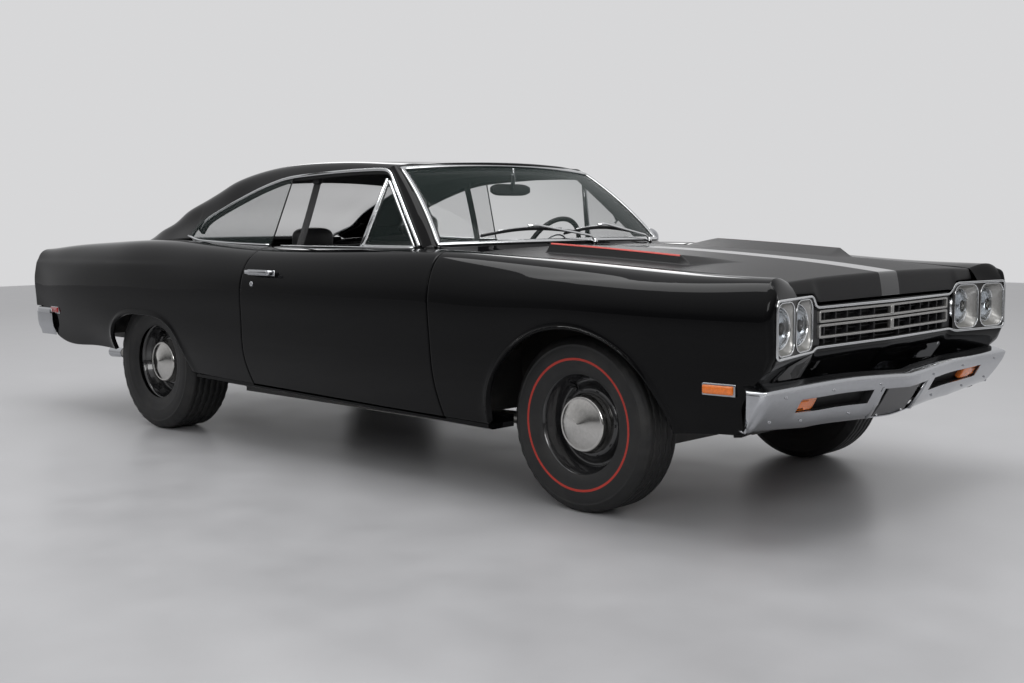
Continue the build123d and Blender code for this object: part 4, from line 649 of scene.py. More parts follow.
def hood_grid():
    """The hood's top and its nearly upright front face."""
    xs = even(1.008, 1.02, 3) + even(1.02, 1.258, 12) + even(1.258, 1.284, 10) + even(1.284, 1.9, 30)
    xs += even(1.9, 2.1, 34) + even(2.1, 2.44, 16) + [2.44, 2.447, 2.452]
    shares = even(0, STRIPE_HALF, 5) + even(STRIPE_HALF, SCOOP_IN, 14) + even(SCOOP_IN, SCOOP_OUT - 0.01, 18)
    shares += even(SCOOP_OUT - 0.01, SCOOP_OUT + SCOOP_WALL + 0.004, 14)
    grid = []
    for x in xs:
        half = hood_half(x)
        ys = shares + list(linspace(SCOOP_OUT + SCOOP_WALL + 0.004, half, 10))
        ys = [-y for y in reversed(ys[1:])] + ys
        grid.append([hood_point(x, y, half) for y in ys])
    top = grid[-1]
    for dx, share in ((0.006, 0.03), (0.01, 0.1), (0.013, 0.24), (0.018, 0.5), (0.022, 0.8), (0.024, 1.0)):
        grid.append([(x + dx, y, z + (hood_lip(y) - z) * share) for x, y, z in top])
    return array(grid)


def stripe_slots(grid, pads):
    """0 for a matte face, 1 for a face of the centre stripe, for a skin grid with padded edges."""
    rows, cols = grid.shape[0] + pads - 1, grid.shape[1] + pads - 1
    return [int(abs(j - cols / 2 + 0.5) < 5) for _ in range(rows) for j in range(cols)]


hood_points = hood_grid()
skin("hood_skin", hood_points, [MATTE, STRIPE], (1.7, 0, 0.5), "hood", depth=0.018, replaces=["hood"],
     slots=stripe_slots(hood_points, 8))
for side, sign in SIDES:
    line = []
    for x in linspace(1.285, 1.93, 60):
        z = hood_point(x, SCOOP_OUT, hood_half(x))[2]
        line.append([(x, sign * (SCOOP_OUT + out), z + up)
                     for out, up in ((-0.0012, 0.0006), (0.0006, 0.0002), (0.0034, -0.0055))])
    sheet(f"scoop_stripe_{side}", line, RED_PAINT, "hood")


# ---- roof, pillars and deck ----------------------------------------------------------------------
# Each row: place, then (width, height) of the roof's edge, the drip rail's line and the foot, and the
# height of the middle.
ROOF_ROWS = (
    (-1.63, (0.6455, 0.993), (0.667, 0.985), (0.6895, 0.976), 0.994),
    (-1.5, (0.6655, 1.035), (0.688, 1.012), (0.7105, 0.985), 1.045),
    (-1.3, (0.6355, 1.131), (0.6815, 1.063), (0.7275, 0.992), 1.148),
    (-1.1, (0.6185, 1.204), (0.682, 1.103), (0.7455, 1.0), 1.235),
    (-0.9, (0.6055, 1.278), (0.6755, 1.155), (0.765, 0.994), 1.313),
    (-0.7, (0.6005, 1.322), (0.6625, 1.22), (0.7855, 0.986), 1.355),
    (-0.5, (0.6005, 1.346), (0.6555, 1.275), (0.787, 0.98), 1.369),
    (-0.25, (0.6055, 1.357), (0.6555, 1.306), (0.785, 0.976), 1.3725),
    (0.1, (0.6005, 1.353), (0.6455, 1.32), (0.775, 0.975), 1.37),
    (0.4, (0.59, 1.339), (0.628, 1.318), (0.75, 0.98), 1.358),
    (0.513, (0.5855, 1.335), (0.622, 1.317), (0.745, 0.985), 1.3545),
)
OPENING_TOP = ((-1.089, 1.042), (-1.037, 1.1), (-0.806, 1.184), (-0.586, 1.251), (-0.377, 1.299),
               (-0.139, 1.312), (0.086, 1.32), (0.334, 1.322), (0.513, 1.318))
RAIL_ROWS = 40                      # points of a row of the roof from its foot to its rim
WINDOW_HEAD = -0.862                # where the rear window's opening starts
ROOF_STEPS = 200
roof_samples = []
for x, edge, rail, foot, middle in ROOF_ROWS:
    crown = [(edge[0] * share, edge[1] + (middle - edge[1]) * (1 - share ** 2))
             for share in (0.88, 0.72, 0.5, 0.25, 0)]
    roof_samples.append(curve([foot, rail, edge] + crown, ROOF_STEPS))
roof_at = natural([row[0] for row in ROOF_ROWS], roof_samples)


def roof_section(x):
    """The left half of the roof's section from foot to centre, as points."""
    yz = roof_at(x)
    lean = -0.085 * clip((x + 0.1) / 0.6, 0, 1) ** 1.5 * (yz[:, 0] / 0.6) ** 2
    return np.column_stack((x + lean, yz))


def roof_grid(side_rows, top_rows):
    """The whole roof; returns the grid and which of its rows is the window's head."""
    spans = ((-1.628, -1.092, 30), (-1.04, WINDOW_HEAD - 0.01, 12), (WINDOW_HEAD + 0.01, 0.5, 70))
    xs = {float(x) for span in spans for x in np.round(linspace(*span), 4)}
    xs = sorted(xs | {-1.088, -1.08, -1.065, WINDOW_HEAD})
    grid = []
    for x in xs:
        points = roof_section(x)
        start = 0.0
        if x > -1.09:
            low = float(interp(x, *zip(*OPENING_TOP)))
            start = float(interp(low, points[:110, 2], np.arange(110)))
        inner = float(interp(x, [row[0] for row in ROOF_ROWS], [row[1][0] for row in ROOF_ROWS])) - 0.04
        rim = float(interp(-inner, -points[:, 1], np.arange(ROOF_STEPS)))
        at = np.concatenate((linspace(start, rim, side_rows), linspace(rim, ROOF_STEPS - 1, top_rows)[1:]))
        half = np.column_stack([interp(at, np.arange(ROOF_STEPS), points[:, k]) for k in range(3)])
        other = half[-2::-1] * (1, -1, 1)
        grid.append(np.concatenate((half, other)))
    last = grid[-1]
    for ahead, drop in ((0.002, 0.003), (0.002, 0.012)):
        grid.append(last + (ahead, 0, -drop))
    return array(grid), xs.index(WINDOW_HEAD)


def add_roof():
    """The roof skin without the rear window's opening, its edges turned in."""
    grid, head = roof_grid(RAIL_ROWS, 26)
    rows, cols = grid.shape[:2]
    faces = [face for k, face in enumerate(grid_faces(rows, cols)) if k // (cols - 1) >= head
             or not RAIL_ROWS - 1 <= k % (cols - 1) < cols - RAIL_ROWS]
    piece = add_mesh("roof_skin", grid.reshape(-1, 3), faces, PAINT, replaces=["roof"])
    thicken(piece, 0.01, -1 if normals_of(grid)[40, 60][2] > 0 else 1)
    inner = grid[:, 6:-6].copy()
    inner[..., 2] -= 0.03
    sheet("headliner", inner[head + 1:], HEADLINER)
    return grid, head


roof_points, head_row = add_roof()

deck = [[(x, y, z + 0.01 * (1 - (y / 0.645) ** 2) * (1 + (x + 1.6) / 0.2)) for y in linspace(-0.643, 0.643, 40)]
        for x, z in ((-1.6, 0.99), (-1.64, 0.982), (-1.68, 0.97), (-1.714, 0.96))]
skin("deck_skin", deck, PAINT, (-1.65, 0, 0.5), depth=0.02)


# ---- trunk lid and tail --------------------------------------------------------------------------
TRUNK_XS = (-2.541, -2.3, -1.9, -1.726)
trunk_edge_z = natural(TRUNK_XS, (0.899, 0.921, 0.951, 0.957))
trunk_mid_z = natural(TRUNK_XS, (0.914, 0.94, 0.963, 0.965))
TRUNK_HALF = HW - 0.325 - 0.0075
trunk = []
for x in linspace(-2.533, -1.726, 60):
    edge, middle = float(trunk_edge_z(x)), float(trunk_mid_z(x))
    sink = 0.004 * max(0, (x + 1.8) / 0.08) ** 2
    trunk.append([(x, y, edge + (middle - edge) * (1 - (y / TRUNK_HALF) ** 2) - sink)
                  for y in linspace(-TRUNK_HALF, TRUNK_HALF, 60)])
rear_row = trunk[0]
for dx, drop in ((-0.004, 0.003), (-0.007, 0.01), (-0.008, 0.024)):
    trunk.insert(0, [(x + dx, y, z - drop) for x, y, z in rear_row])
skin("trunk_skin", trunk, PAINT, (-2.1, 0, 0.5), "trunk_lid", depth=0.02, replaces=["trunk_lid"])


# ---- wheels --------------------------------------------------------------------------------------
def tread_rows(radius, half, grooves):
    """A tread's outline from one shoulder to the other, with its grooves."""
    side, depth = 0.0035, 0.0065
    rows = [(half, radius - 0.004), (half - 0.004, radius - 0.001)]
    for at in grooves:
        wall = ((side + 0.0012, 0), (side, 0.0012), (side - 0.0008, depth))
        rows += [(at + out, radius - drop) for out, drop in wall]
        rows += [(at - out, radius - drop) for out, drop in reversed(wall)]
    return rows + [(-half + 0.004, radius - 0.001), (-half, radius - 0.004)]


def tyre(end, side, centre, radius, width, tread_half, grooves, red):
    """A tyre with its tread grooves, shoulder lugs and raised rings on the sidewall."""
    half, around = width / 2, 144
    # (share of the half width, radius in mm)
    wall = [(0.8, 190.5), (0.855, 198.5), (0.905, 210.5), (0.95, 226.5), (0.968, 240.5), (0.976, 242.5),
            (0.979, 243.5), (0.985, 251.5), (0.985, 252.5), (0.992, 262), (1.0, 276), (0.985, 292),
            (0.972, 299.5), (0.978, 300.5), (0.975, 304.5), (0.95, 306.5)]
    taller = 10 if radius > 0.34 else 0
    outer = [(share * half, (r if r < 240 else r + taller) / 1000) for share, r in wall]
    outer += [(half * 0.9, radius - 0.014), (tread_half + 0.004, radius - 0.0075)]
    outline = outer + tread_rows(radius, tread_half, grooves) + [(-a, r) for a, r in reversed(outer)]
    slots = [int(red and k in (6, 7)) for k in range(len(outline) - 1)]
    piece = lathe(f"tyre_{end}_{side}_detail", outline, centre, [RUBBER, RED_LINE], f"{end}_wheel_{side}",
                  count=around, side=1 if side == "left" else -1, slots=slots, replaces=[f"tyre_{end}_{side}"])
    verts = piece.data.vertices
    for row, (offset, r) in enumerate(outline):
        if abs(offset) < tread_half * 0.8 and r > radius - 0.02:                        # zigzag ribs
            for k in range(around):
                verts[row * around + k].co.y += 0.0022 * (1 if (k // 2) % 2 else -1)
        if tread_half * 0.97 < abs(offset) < half * 0.93 and r > radius - 0.016:        # shoulder lugs
            for k in range(around):
                if k % 4 < 2:
                    spot = verts[row * around + k].co
                    spot -= Vector((spot.x - centre[0], 0, spot.z - centre[2])).normalized() * 0.0028
    piece.data.update()


# (mm outboard of the lip, radius in mm) of the steel wheel and of its cap
STEEL_LINE = ((-18, 189.5), (-4, 191.5), (2, 197.5), (5, 198.5), (7, 196), (4, 191.5), (-8, 185), (-20, 183.5),
              (-24, 179), (-40, 177), (-44, 172), (-66, 169.5), (-74, 166), (-78, 160), (-74, 152), (-62, 142),
              (-52, 135), (-48, 127), (-47, 118), (-47, 60), (-60, 59), (-62, 118), (-85, 150), (-92, 164),
              (-90, 179), (-150, 180), (-162, 188), (-170, 189.5))
CAP_LINE = ((-46, 115), (-40, 116.5), (-34, 115), (-30, 110.5), (-22, 108.5), (-8, 107.5), (-2, 104.5),
            (1, 99.5), (-0.5, 96.5), (0.5, 94.5), (12, 55), (22.5, 10), (24, 4), (24.2, 0))


def wheel(end, side, centre, reach):
    """A deep steel wheel with its polished cap. reach is how far outboard of the centre its lip stands."""
    sign = 1 if side == "left" else -1
    body, (cx, cy, cz) = f"{end}_wheel_{side}", centre
    steel, cap = ([(reach + a / 1000, r / 1000) for a, r in line] for line in (STEEL_LINE, CAP_LINE))
    lathe(f"wheel_{end}_{side}_steel", steel, centre, WHEEL_PAINT, body, side=sign,
          replaces=[f"wheel_{end}_{side}"])
    lathe(f"cap_{end}_{side}", cap, centre, CAP, body, side=sign)
    # The slot holes are drawn as ten flat dark quads on the solid wheel face: painted shade for the dark
    # insides of the holes.
    points = []
    for k in range(10):
        a = tau * k / 10
        for dx, r in ((-0.006, 0.1245), (0.006, 0.1245), (0.006, 0.1305), (-0.006, 0.1305)):
            points.append((cx + r * cos(a) - dx * sin(a), cy + sign * (reach - 0.0465),
                           cz + r * sin(a) + dx * cos(a)))
    add_mesh(f"wheel_{end}_{side}_slots", points, [range(4 * k, 4 * k + 4) for k in range(10)], SEAL, body)
    foot = (cx + 0.158 * cos(2.2), cy + sign * (reach - 0.078), cz + 0.158 * sin(2.2))
    stud(f"valve_{end}_{side}", foot, (0, sign, 0), [(d, 0.0042) for d in (0, 0.012, 0.024, 0.034)], SEAL, body,
         count=10, up=(1, 0, 0))


for side, sign in SIDES:
    front, rear = (FA, sign * 0.756, FRONT_R), (RA, sign * 0.752, REAR_R)
    tyre("front", side, front, FRONT_R, 0.205, 0.078, (0.052, 0.018, -0.018, -0.052), True)
    tyre("rear", side, rear, REAR_R, 0.262, 0.104, (0.072, 0.036, 0.0, -0.036, -0.072), False)
    wheel("front", side, front, 0.074)
    wheel("rear", side, rear, 0.078)


# ---- nose ----------------------------------------------------------------------------------------
def face_x(y):
    """How far forward the surround of the grille and lamps stands."""
    y = abs(y)
    if y < 0.515:
        return 2.463 + 0.018 * (1 - y / 0.515)
    return 2.463 + 0.068 * (y - 0.515) / 0.352


def bent(start, middle, target, count):
    """Points on a curve that leaves start towards middle and arrives at target."""
    return [(1 - t) ** 2 * start + 2 * t * (1 - t) * middle + t * t * target for t in linspace(0, 1, count)]


def round_path(corners, radius, closed=False):
    """A line through corners, each rounded off."""
    corners = [array(c, float) for c in corners]
    n = len(corners)
    out = []
    for k, corner in enumerate(corners):
        if not closed and k in (0, n - 1):
            out.append(corner)
            continue
        before, after = corners[k - 1], corners[(k + 1) % n]
        a, b = before - corner, after - corner
        la, lb = np.linalg.norm(a), np.linalg.norm(b)
        r = min(radius, la * 0.45, lb * 0.45)
        out += bent(corner + a / la * r, corner, corner + b / lb * r, 7)
    dense = []
    total = len(out)
    for k in range(total if closed else total - 1):
        a, b = out[k], out[(k + 1) % total]
        count = max(1, int(np.linalg.norm(b - a) / 0.024))
        dense += [a + (b - a) * t for t in linspace(0, 1, count, endpoint=False)]
    if not closed:
        dense.append(out[-1])
    return array(dense)


def on_face(path, lead=0.0):
    """Places a (Y, Z) line on the nose's face."""
    return array([(face_x(y) + lead, y, z) for y, z in path])


half_outline = [(0.512, 0.651), (0.545, 0.64), (0.866, 0.64), (0.868, 0.833), (0.548, 0.833), (0.512, 0.791)]
full_outline = half_outline + [(-y, z) for y, z in reversed(half_outline)]
surround = on_face(round_path(full_outline, 0.022, closed=True), 0.004)
sweep("nose_surround", surround, (0.01, 0.009, 0.003, 2), TRIM, up=(1, 0, 0), closed=True,
      replaces=["lamp_bezels"])

LAMP_YS, LAMP_Z = (0.62, 0.787), 0.7365
LAMP_MOUTH = rounded(0.15, 0.176, 0.04, 6)
# (mm forward of the lens's edge, radius in mm) of a headlamp's turned parts
LAMP_PARTS = (("ring", TRIM, ((-4, 77.5), (4, 74.5), (8, 72.5), (8, 70), (0, 69))),
              ("bowl", CHROME, ((-2, 69), (-18, 63), (-34, 47), (-43, 24), (-46, 6), (-40, 4), (-26, 3.5),
                                (-24, 0))),
              ("lens", LENS, ((0, 69.5), (7, 63), (12, 50), (15.5, 30), (17, 0), (14, 0), (12.5, 30), (9, 50),
                              (4, 63), (-2, 69))))


def lamp(side, sign, k, y):
    """One round headlamp in its squared recess."""
    mouth = [(y + dy, LAMP_Z + dz) for dy, dz in LAMP_MOUTH]
    rings = []
    for share, back in ((0.0, 0.0), (0.04, 0.006), (0.45, 0.018), (0.9, 0.03), (1.0, 0.032)):
        loop = []
        for my, mz in mouth:
            a = atan2(mz - LAMP_Z, my - y)
            cy, cz = y + 0.0745 * cos(a), LAMP_Z + 0.0765 * sin(a)
            flat = face_x(my) * (1 - share) + face_x(y) * share
            loop.append((flat - back, sign * (my + (cy - my) * share), mz + (cz - mz) * share))
        rings.append(loop)
    sheet(f"lamp_recess_{side}_{k}", rings, ARGENT, across=True)
    edge = [(face_x(my) + 0.002, sign * my, mz) for my, mz in mouth]
    sweep(f"lamp_edge_{side}_{k}", edge, (0.005, 0.006, 0.002, 2), TRIM, up=(1, 0, 0), closed=True)
    turns = [tau * step / 48 for step in range(48)]
    for part, mat, outline in LAMP_PARTS:
        grid = [[(face_x(y) - 0.032 + ahead / 1000, sign * y + r / 1000 * cos(a), LAMP_Z + r / 1000 * sin(a))
                 for a in turns] for ahead, r in outline]
        first = (part, side, k) == ("lens", "left", 0)
        sheet(f"lamp_{part}_{side}_{k}", grid, mat, across=True, replaces=["headlamps"] if first else ())


BEZEL_DARK = material("bezel_grey", (0.06, 0.058, 0.056), 0.4, 0.2, 200, 0.1, 900, metal=0.5)
for side, sign in SIDES:
    holes = []
    for k, y in enumerate(LAMP_YS):
        lamp(side, sign, k, y)
        holes.append([(sign * (y + dy), LAMP_Z + dz) for dy, dz in LAMP_MOUTH])
    border = [(sign * y, z) for y, z in round_path([(0.536, 0.64), (0.866, 0.64), (0.868, 0.833),
                                                    (0.536, 0.833)], 0.022, closed=True)]
    loops = [[(face_x(y), y, z) for y, z in loop] for loop in [border] + holes]
    add_mesh(f"lamp_plate_{side}", *filled(loops), BEZEL_DARK, smooth=False)


def grille():
    """Two long bright loops on a bowed face, with a bar in the middle of each, and dark uprights behind."""
    for k, (low, high) in enumerate(((0.74, 0.776), (0.685, 0.726))):
        path = round_path([(-0.485, low), (0.485, low), (0.485, high), (-0.485, high)], 0.006, closed=True)
        sweep(f"grille_loop_{k}", on_face(path, -0.006), (0.0095, 0.02, 0.003, 2), ARGENT, up=(1, 0, 0),
              closed=True, replaces=() if k else ["grille"])
        middle = [(face_x(0) - 0.004, 0, z) for z in linspace(low, high, 5)]
        sweep(f"grille_middle_{k}", middle, (0.02, 0.02, 0.004, 2), ARGENT, up=(1, 0, 0))
    places = (0.43, 0.355, 0.28, 0.19, 0.095)
    for k, y in enumerate([-y for y in places] + list(reversed(places))):
        solid_box(f"grille_upright_{k}", (face_x(y) - 0.04, y - 0.004, 0.655),
                  (face_x(y) - 0.016, y + 0.004, 0.787), PLASTIC, bevel=0.001)
    for k, z in enumerate((0.662, 0.674, 0.705, 0.733, 0.758, 0.785)):
        path = [(face_x(y) - 0.036, y, z) for y in linspace(-0.508, 0.508, 31)]
        sweep(f"grille_back_bar_{k}", path, (0.012, 0.006, 0.002, 1), PLASTIC)
    for side, sign in reversed(SIDES):
        low, high = sorted((sign * 0.47, sign * 0.532))
        solid_box(f"grille_end_{side}", (2.418, low, 0.655), (2.456, high, 0.787), PLASTIC)


grille()


def nose_skin():
    """The painted panel round and under the grille, down behind the bumper, and the strip over the grille."""
    rows = []
    for z, back in ((0.646, 0.004), (0.636, 0.001), (0.622, 0.006), (0.6, 0.022), (0.57, 0.045), (0.53, 0.072),
                    (0.48, 0.098), (0.43, 0.112), (0.385, 0.118), (0.372, 0.13), (0.368, 0.16)):
        rise = 0.011 * climb(z - 0.57, 0.06)
        rows.append([(face_x(y) - back, y, z + rise * (1 - climb(abs(y) - 0.5, 0.05)))
                     for y in linspace(-0.866, 0.866, 90)])
    skin("nose_lower_skin", rows, PAINT, (2.0, 0, 0.5), depth=0.012, edges="cd", replaces=["nose_panels"])
    top = [[(face_x(y) - back, y, z) for y in linspace(-0.52, 0.52, 50)]
           for z, back in ((0.787, 0.006), (0.797, 0.003), (0.801, 0.01), (0.802, 0.07))]
    skin("nose_header_skin", top, PAINT, (2.2, 0, 0.5), depth=0.006, edges="")


def nose_side():
    """The fender's front, which turns in to the lamps and the lower panel."""
    rows = []
    for x, y, z in fender_grid[-1]:
        if y < 0.8601 and z > 0.8:
            target = (face_x(y) + 0.001, y, 0.8385)
            middle = (x + 0.014, y, z - 0.004)
        else:
            back = interp(z, (0.377, 0.48, 0.53, 0.6, 0.64, 0.645), (0.128, 0.112, 0.08, 0.022, 0.003, -0.001))
            share = climb(z - 0.645, 0.235)
            target = (face_x(0.866) - back, 0.868, z + (0.8385 - 0.88) * share)
            middle = (max(x, target[0]) - 0.004 * (1 - share) + 0.004, y - 0.004, z)
        rows.append(bent(array((x, y, z)), array(middle), array(target), 9))
    return array(rows)


nose_skin()
nose_sides = nose_side()
for side, sign in SIDES:
    sheet(f"nose_side_{side}", nose_sides * (1, sign, 1), PAINT)


# ---- bumpers -------------------------------------------------------------------------------------
def front_line():
    """The front bumper's top crease in plan."""
    corners = [(2.462, 0.929), (2.505, 0.929), (2.535, 0.905), (2.535, 0.6), (2.545, 0.36), (HL - 0.001, 0.05)]
    line = [(float(x), float(y)) for x, y, _ in round_path([(x, y, 0) for x, y in corners], 0.03)]
    xs = {round(y, 4): x for x, y in line}
    for y in (0.69, 0.235, 0.165, 0.0):
        xs[y] = float(interp(y, *zip(*sorted((b, a) for a, b in line))))
    half = sorted(((x, y) for y, x in xs.items()), key=lambda p: (-p[1], p[0]))
    half = [p for p in line if p[1] > 0.9045] + [p for p in half if p[1] <= 0.9045]
    return array(half + [(x, -y) for x, y in reversed(half[:-1])])


def droop(y, z):
    """How much lower the front bumper is near its middle, or higher at its ends."""
    y = abs(y)
    top = -0.018 * max(0, 1 - y / 0.45) ** 1.4
    bottom = -0.016 * max(0, 1 - y / 0.45) + 0.022 * climb(y - 0.55, 0.3)
    share = climb(0.53 - z, 0.155)
    return top * (1 - share) + bottom * share


def lean_at(z):
    """How far the front bumper's face stands behind its crease."""
    return float(interp(z, (0.375, 0.4, 0.44, 0.491, 0.507, 0.5235, 0.53),
                        (0.086, 0.067, 0.041, 0.0135, 0.0072, 0.0022, 0.001)))


def front_bumper(path):
    """The pressed front bumper, open at its turn signals and in the middle.

    The section holds (distance behind the crease, height). Its first rows, the top, lean in towards a line
    behind the bumper; the face leans straight back, less at the wrapped ends.
    """
    section = [(0.088, 0.536), (0.078, 0.551), (0.064, 0.556), (0.04, 0.551), (0.014, 0.5415), (0.003, 0.5362),
               (0.0002, 0.53), (0.0022, 0.5235)] + [(lean_at(z), z) for z in (0.507, 0.491, 0.44, 0.4)]
    section += [(0.085, 0.38), (0.0925, 0.3752), (0.118, 0.38)]
    top_rows, reach = 6, 0.095
    openings = ((9, 10, 0.235, 0.69), (9, 13, -1, 0.165))      # section rows, then places across the car
    middle = max(path[:, 0])
    grid = []
    for x, y in path:
        side = 1 if y > 0 else -1
        away = array((min(x, middle) - reach, min(abs(y), 0.845) * side)) - (x, y)
        near_end = climb(abs(y) - 0.87, 0.04)
        ahead = climb(x - (middle - 0.112), 0.06)
        face = array((near_end * (0.85 - 0.85 * ahead) - 1, -side * 0.22 * near_end))
        row = []
        for k, (d, z) in enumerate(section):
            shift = away * min(1, d / reach) if k < top_rows else face * d
            row.append((x + shift[0], y + shift[1], z + droop(y, z)))
        grid.append(row)
    faces = []
    for index, face in enumerate(grid_faces(len(path), len(section))):
        i, j = divmod(index, len(section) - 1)
        y = abs((path[i, 1] + path[i + 1, 1]) / 2)
        if not any(a <= j < b and low < y < high for a, b, low, high in openings):
            faces.append(face)
    piece = add_mesh("front_bumper_chrome", array(grid).reshape(-1, 3), faces, CHROME,
                     replaces=["front_bumper"])
    thicken(piece, 0.004)
    add_bevel(piece, 0.0012, 2, 40)


front_path = front_line()
front_bumper(front_path)
crease_ys, crease_xs = zip(*sorted((float(y), float(x)) for x, y in front_path if y >= 0))


def on_bumper(y, z, back=0.0):
    """A point on the front bumper's face."""
    crease = float(interp(abs(y), crease_ys, crease_xs))
    return crease - lean_at(z) - back, y, z + droop(y, z)


BOLT = (0.0095, 0.008, 0.004)
SMALL_BOLT = (0.006, 0.005, 0.002)
for side, sign in SIDES:
    rim = round_path([(0.235, 0.44), (0.69, 0.44), (0.69, 0.491), (0.235, 0.491)], 0.002, closed=True)
    sheet(f"bumper_slot_{side}", [[on_bumper(sign * y, z, b) for b in (0.001, 0.034)] for y, z in rim], SEAL,
          around=True, smooth=False)
    sheet(f"bumper_slot_back_{side}", [[on_bumper(sign * y, z, 0.034) for z in (0.432, 0.499)]
                                       for y in linspace(0.225, 0.7, 12)], SEAL)
    lens = [[on_bumper(sign * y, z, 0.005 + 0.006 * ((y - 0.628) / 0.062) ** 2)
             for z in linspace(0.4425, 0.4885, 8)] for y in linspace(0.566, 0.688, 16)]
    skin(f"turn_lens_{side}", lens, AMBER, (2.0, 0, 0.46), depth=0.022, replaces=["turn_signals"] if sign > 0
         else ())
    for k, (y, z) in enumerate(((0.205, 0.512), (0.32, 0.41), (0.5, 0.51), (0.62, 0.408), (0.8, 0.512),
                                (0.82, 0.415))):
        stud(f"bumper_bolt_{side}_{k}", on_bumper(sign * y, z), (1, 0, 0.6), zip((-0.001, 0.002, 0.0035), BOLT),
             CHROME, up=(0, 1, 0))
    post = [on_bumper(sign * y, z, 0.004) for y, z in ((0.16, 0.378), (0.168, 0.43), (0.178, 0.5))]
    sweep(f"bumper_strut_{side}", post, (0.012, 0.03, 0.004, 2), CHROME, up=(0, 1, 0))


def plate_point(y, z):
    """A point on the front plate, which is flat across the car."""
    x, _, high = on_bumper(0, z, 0.02)
    return x, y, high


sheet("bumper_recess", [[on_bumper(y, z, 0.045) for z in (0.385, 0.515)] for y in linspace(-0.175, 0.175, 8)],
      SEAL)
plate = [[plate_point(y, z) for z in linspace(0.374, 0.508, 8)] for y in linspace(-0.125, 0.125, 12)]
skin("front_plate_blank", plate, PLATE, (2.0, 0, 0.4), depth=0.002)
for k, (y, z) in enumerate(((-0.095, 0.385), (0.095, 0.385), (-0.095, 0.499), (0.095, 0.499))):
    stud(f"front_plate_bolt_{k}", plate_point(y, z), (1, 0, 0.6), zip((0.001, 0.0035, 0.005), SMALL_BOLT), TRIM,
         count=12, up=(0, 1, 0))


# ---- glass and its bright frames -----------------------------------------------------------------
def screen_foot(share):
    """A point of the windshield's lower edge, share running from -1 at the right to 1 at the left."""
    return array((0.93 - 0.14 * share ** 2, 0.743 * share, 1.0 - 0.008 * share ** 2))


def screen_point(share, up, out=(0, 0, 0)):
    """A point of the windshield, up running from 0 at its foot to 1 at its head."""
    foot, head = screen_foot(share), (0.5 - 0.075 * share ** 2, 0.62 * share, 1.347 - 0.025 * share ** 2)
    bulge = 0.014 * 4 * up * (1 - up)
    return foot + (head - foot) * up + (bulge, 0, bulge) + out


PANE = 0.005
SCREEN_UP = (0.65, 0, 0.75)
shares, ups = linspace(-1, 1, 49), linspace(0, 1, 21)
sheet("windshield_pane", [[screen_point(a, u) for a in shares] for u in ups], GLASS, thick=PANE,
      replaces=["windshield"])
loop = array([screen_point(a, 0.0) for a in shares] + [screen_point(1, u) for u in ups[1:]]
             + [screen_point(a, 1.0) for a in shares[::-1][1:]]
             + [screen_point(-1, u) for u in ups[::-1][1:-1]])
loop += (0.003, 0, 0.004)
sweep("windshield_frame", loop, (0.021, 0.011, 0.004, 3), TRIM, up=SCREEN_UP, closed=True)
inner = (loop - loop.mean(0)) * 0.974 + loop.mean(0) - (0.004, 0, 0.004)
sweep("windshield_seal", inner, (0.016, 0.008, 0.003, 2), SEAL, up=SCREEN_UP, closed=True)


def pillar_point(u, out=(0, 0, 0)):
    """A point of the left pillar's outer edge, u running from its foot to its head."""
    foot, head = array((0.716, 0.776, 0.986)), array((0.375, 0.643, 1.322))
    return foot + (head - foot) * u + out


def drip_line():
    """The left drip rail, up the pillar and back along the roof, smoothed."""
    knots = [pillar_point(u, (0.0, 0.006, 0.0)) for u in linspace(0, 0.97, 12)]
    knots += [(x, interp(x, (-1.09, -0.9, -0.5, 0.1, 0.4), (0.7, 0.6765, 0.662, 0.652, 0.642)), z + 0.004)
              for x, z in reversed(OPENING_TOP[:-1])]
    knots = array(knots)
    at = linspace(0, len(knots) - 1, 90)
    line = np.column_stack([interp(at, range(len(knots)), knots[:, k]) for k in range(3)])
    for _ in range(3):
        line[1:-1] = (line[:-2] + 2 * line[1:-1] + line[2:]) / 4
    return line


drip = drip_line()
for side, sign in SIDES:
    flip = array((1, sign, 1))
    rows = []
    for u in linspace(-0.02, 1.03, 24):
        edge, outer = screen_point(1, u, (0, 0.004, 0)), pillar_point(u)
        rows.append([(edge + (outer - edge) * t + array((0.01, 0.008, 0.008)) * 4 * t * (1 - t)) * flip
                     for t in linspace(0, 1, 9)])
    skin(f"pillar_{side}_skin", rows, PAINT, (0.3, 0, 1.0), depth=0.035, edges="cd")
    sheet(f"pillar_{side}_inner", [[screen_point(1, u, (-0.012, -0.022, 0.0)) * flip,
                                    pillar_point(u, (-0.03, -0.03, 0.0)) * flip] for u in linspace(0, 1, 20)],
          PLASTIC)
    sweep(f"drip_rail_{side}", drip * flip, (0.011, 0.015, 0.004, 2), TRIM)
    sweep(f"roof_rail_{side}", (drip[12:] - (0, 0.016, 0.012)) * flip, (0.022, 0.02, 0.005, 2), SEAL)

rear_grid = roof_points[:head_row + 1, RAIL_ROWS - 1:roof_points.shape[1] - RAIL_ROWS + 1].copy()
drop = normals_of(rear_grid)
drop *= np.where(drop[..., 2:] > 0, -1, 1)
sheet("rear_window_pane", rear_grid + drop * 0.008, GLASS, thick=PANE, replaces=["rear_window"])
rim = np.concatenate((rear_grid[0], rear_grid[1:, -1], rear_grid[-1, ::-1][1:], rear_grid[::-1, 0][1:-1]))
sweep("rear_window_frame", rim + (0, 0, 0.001), (0.024, 0.008, 0.003, 2), TRIM, up=(-0.4, 0, 0.9), closed=True)


def on_glass(line, sign, out=0.0):
    """Places (X, Z) points on a side's glass."""
    return [(x, sign * (0.77 - (z - 0.98) * 0.35 + out), z) for x, z in line]


def pane(name, outline, sign, body="body", **options):
    """Side glass from an (X, Z) outline."""
    thicken(add_mesh(name, *filled([on_glass(outline, sign)]), GLASS, body, smooth=False, **options), PANE)


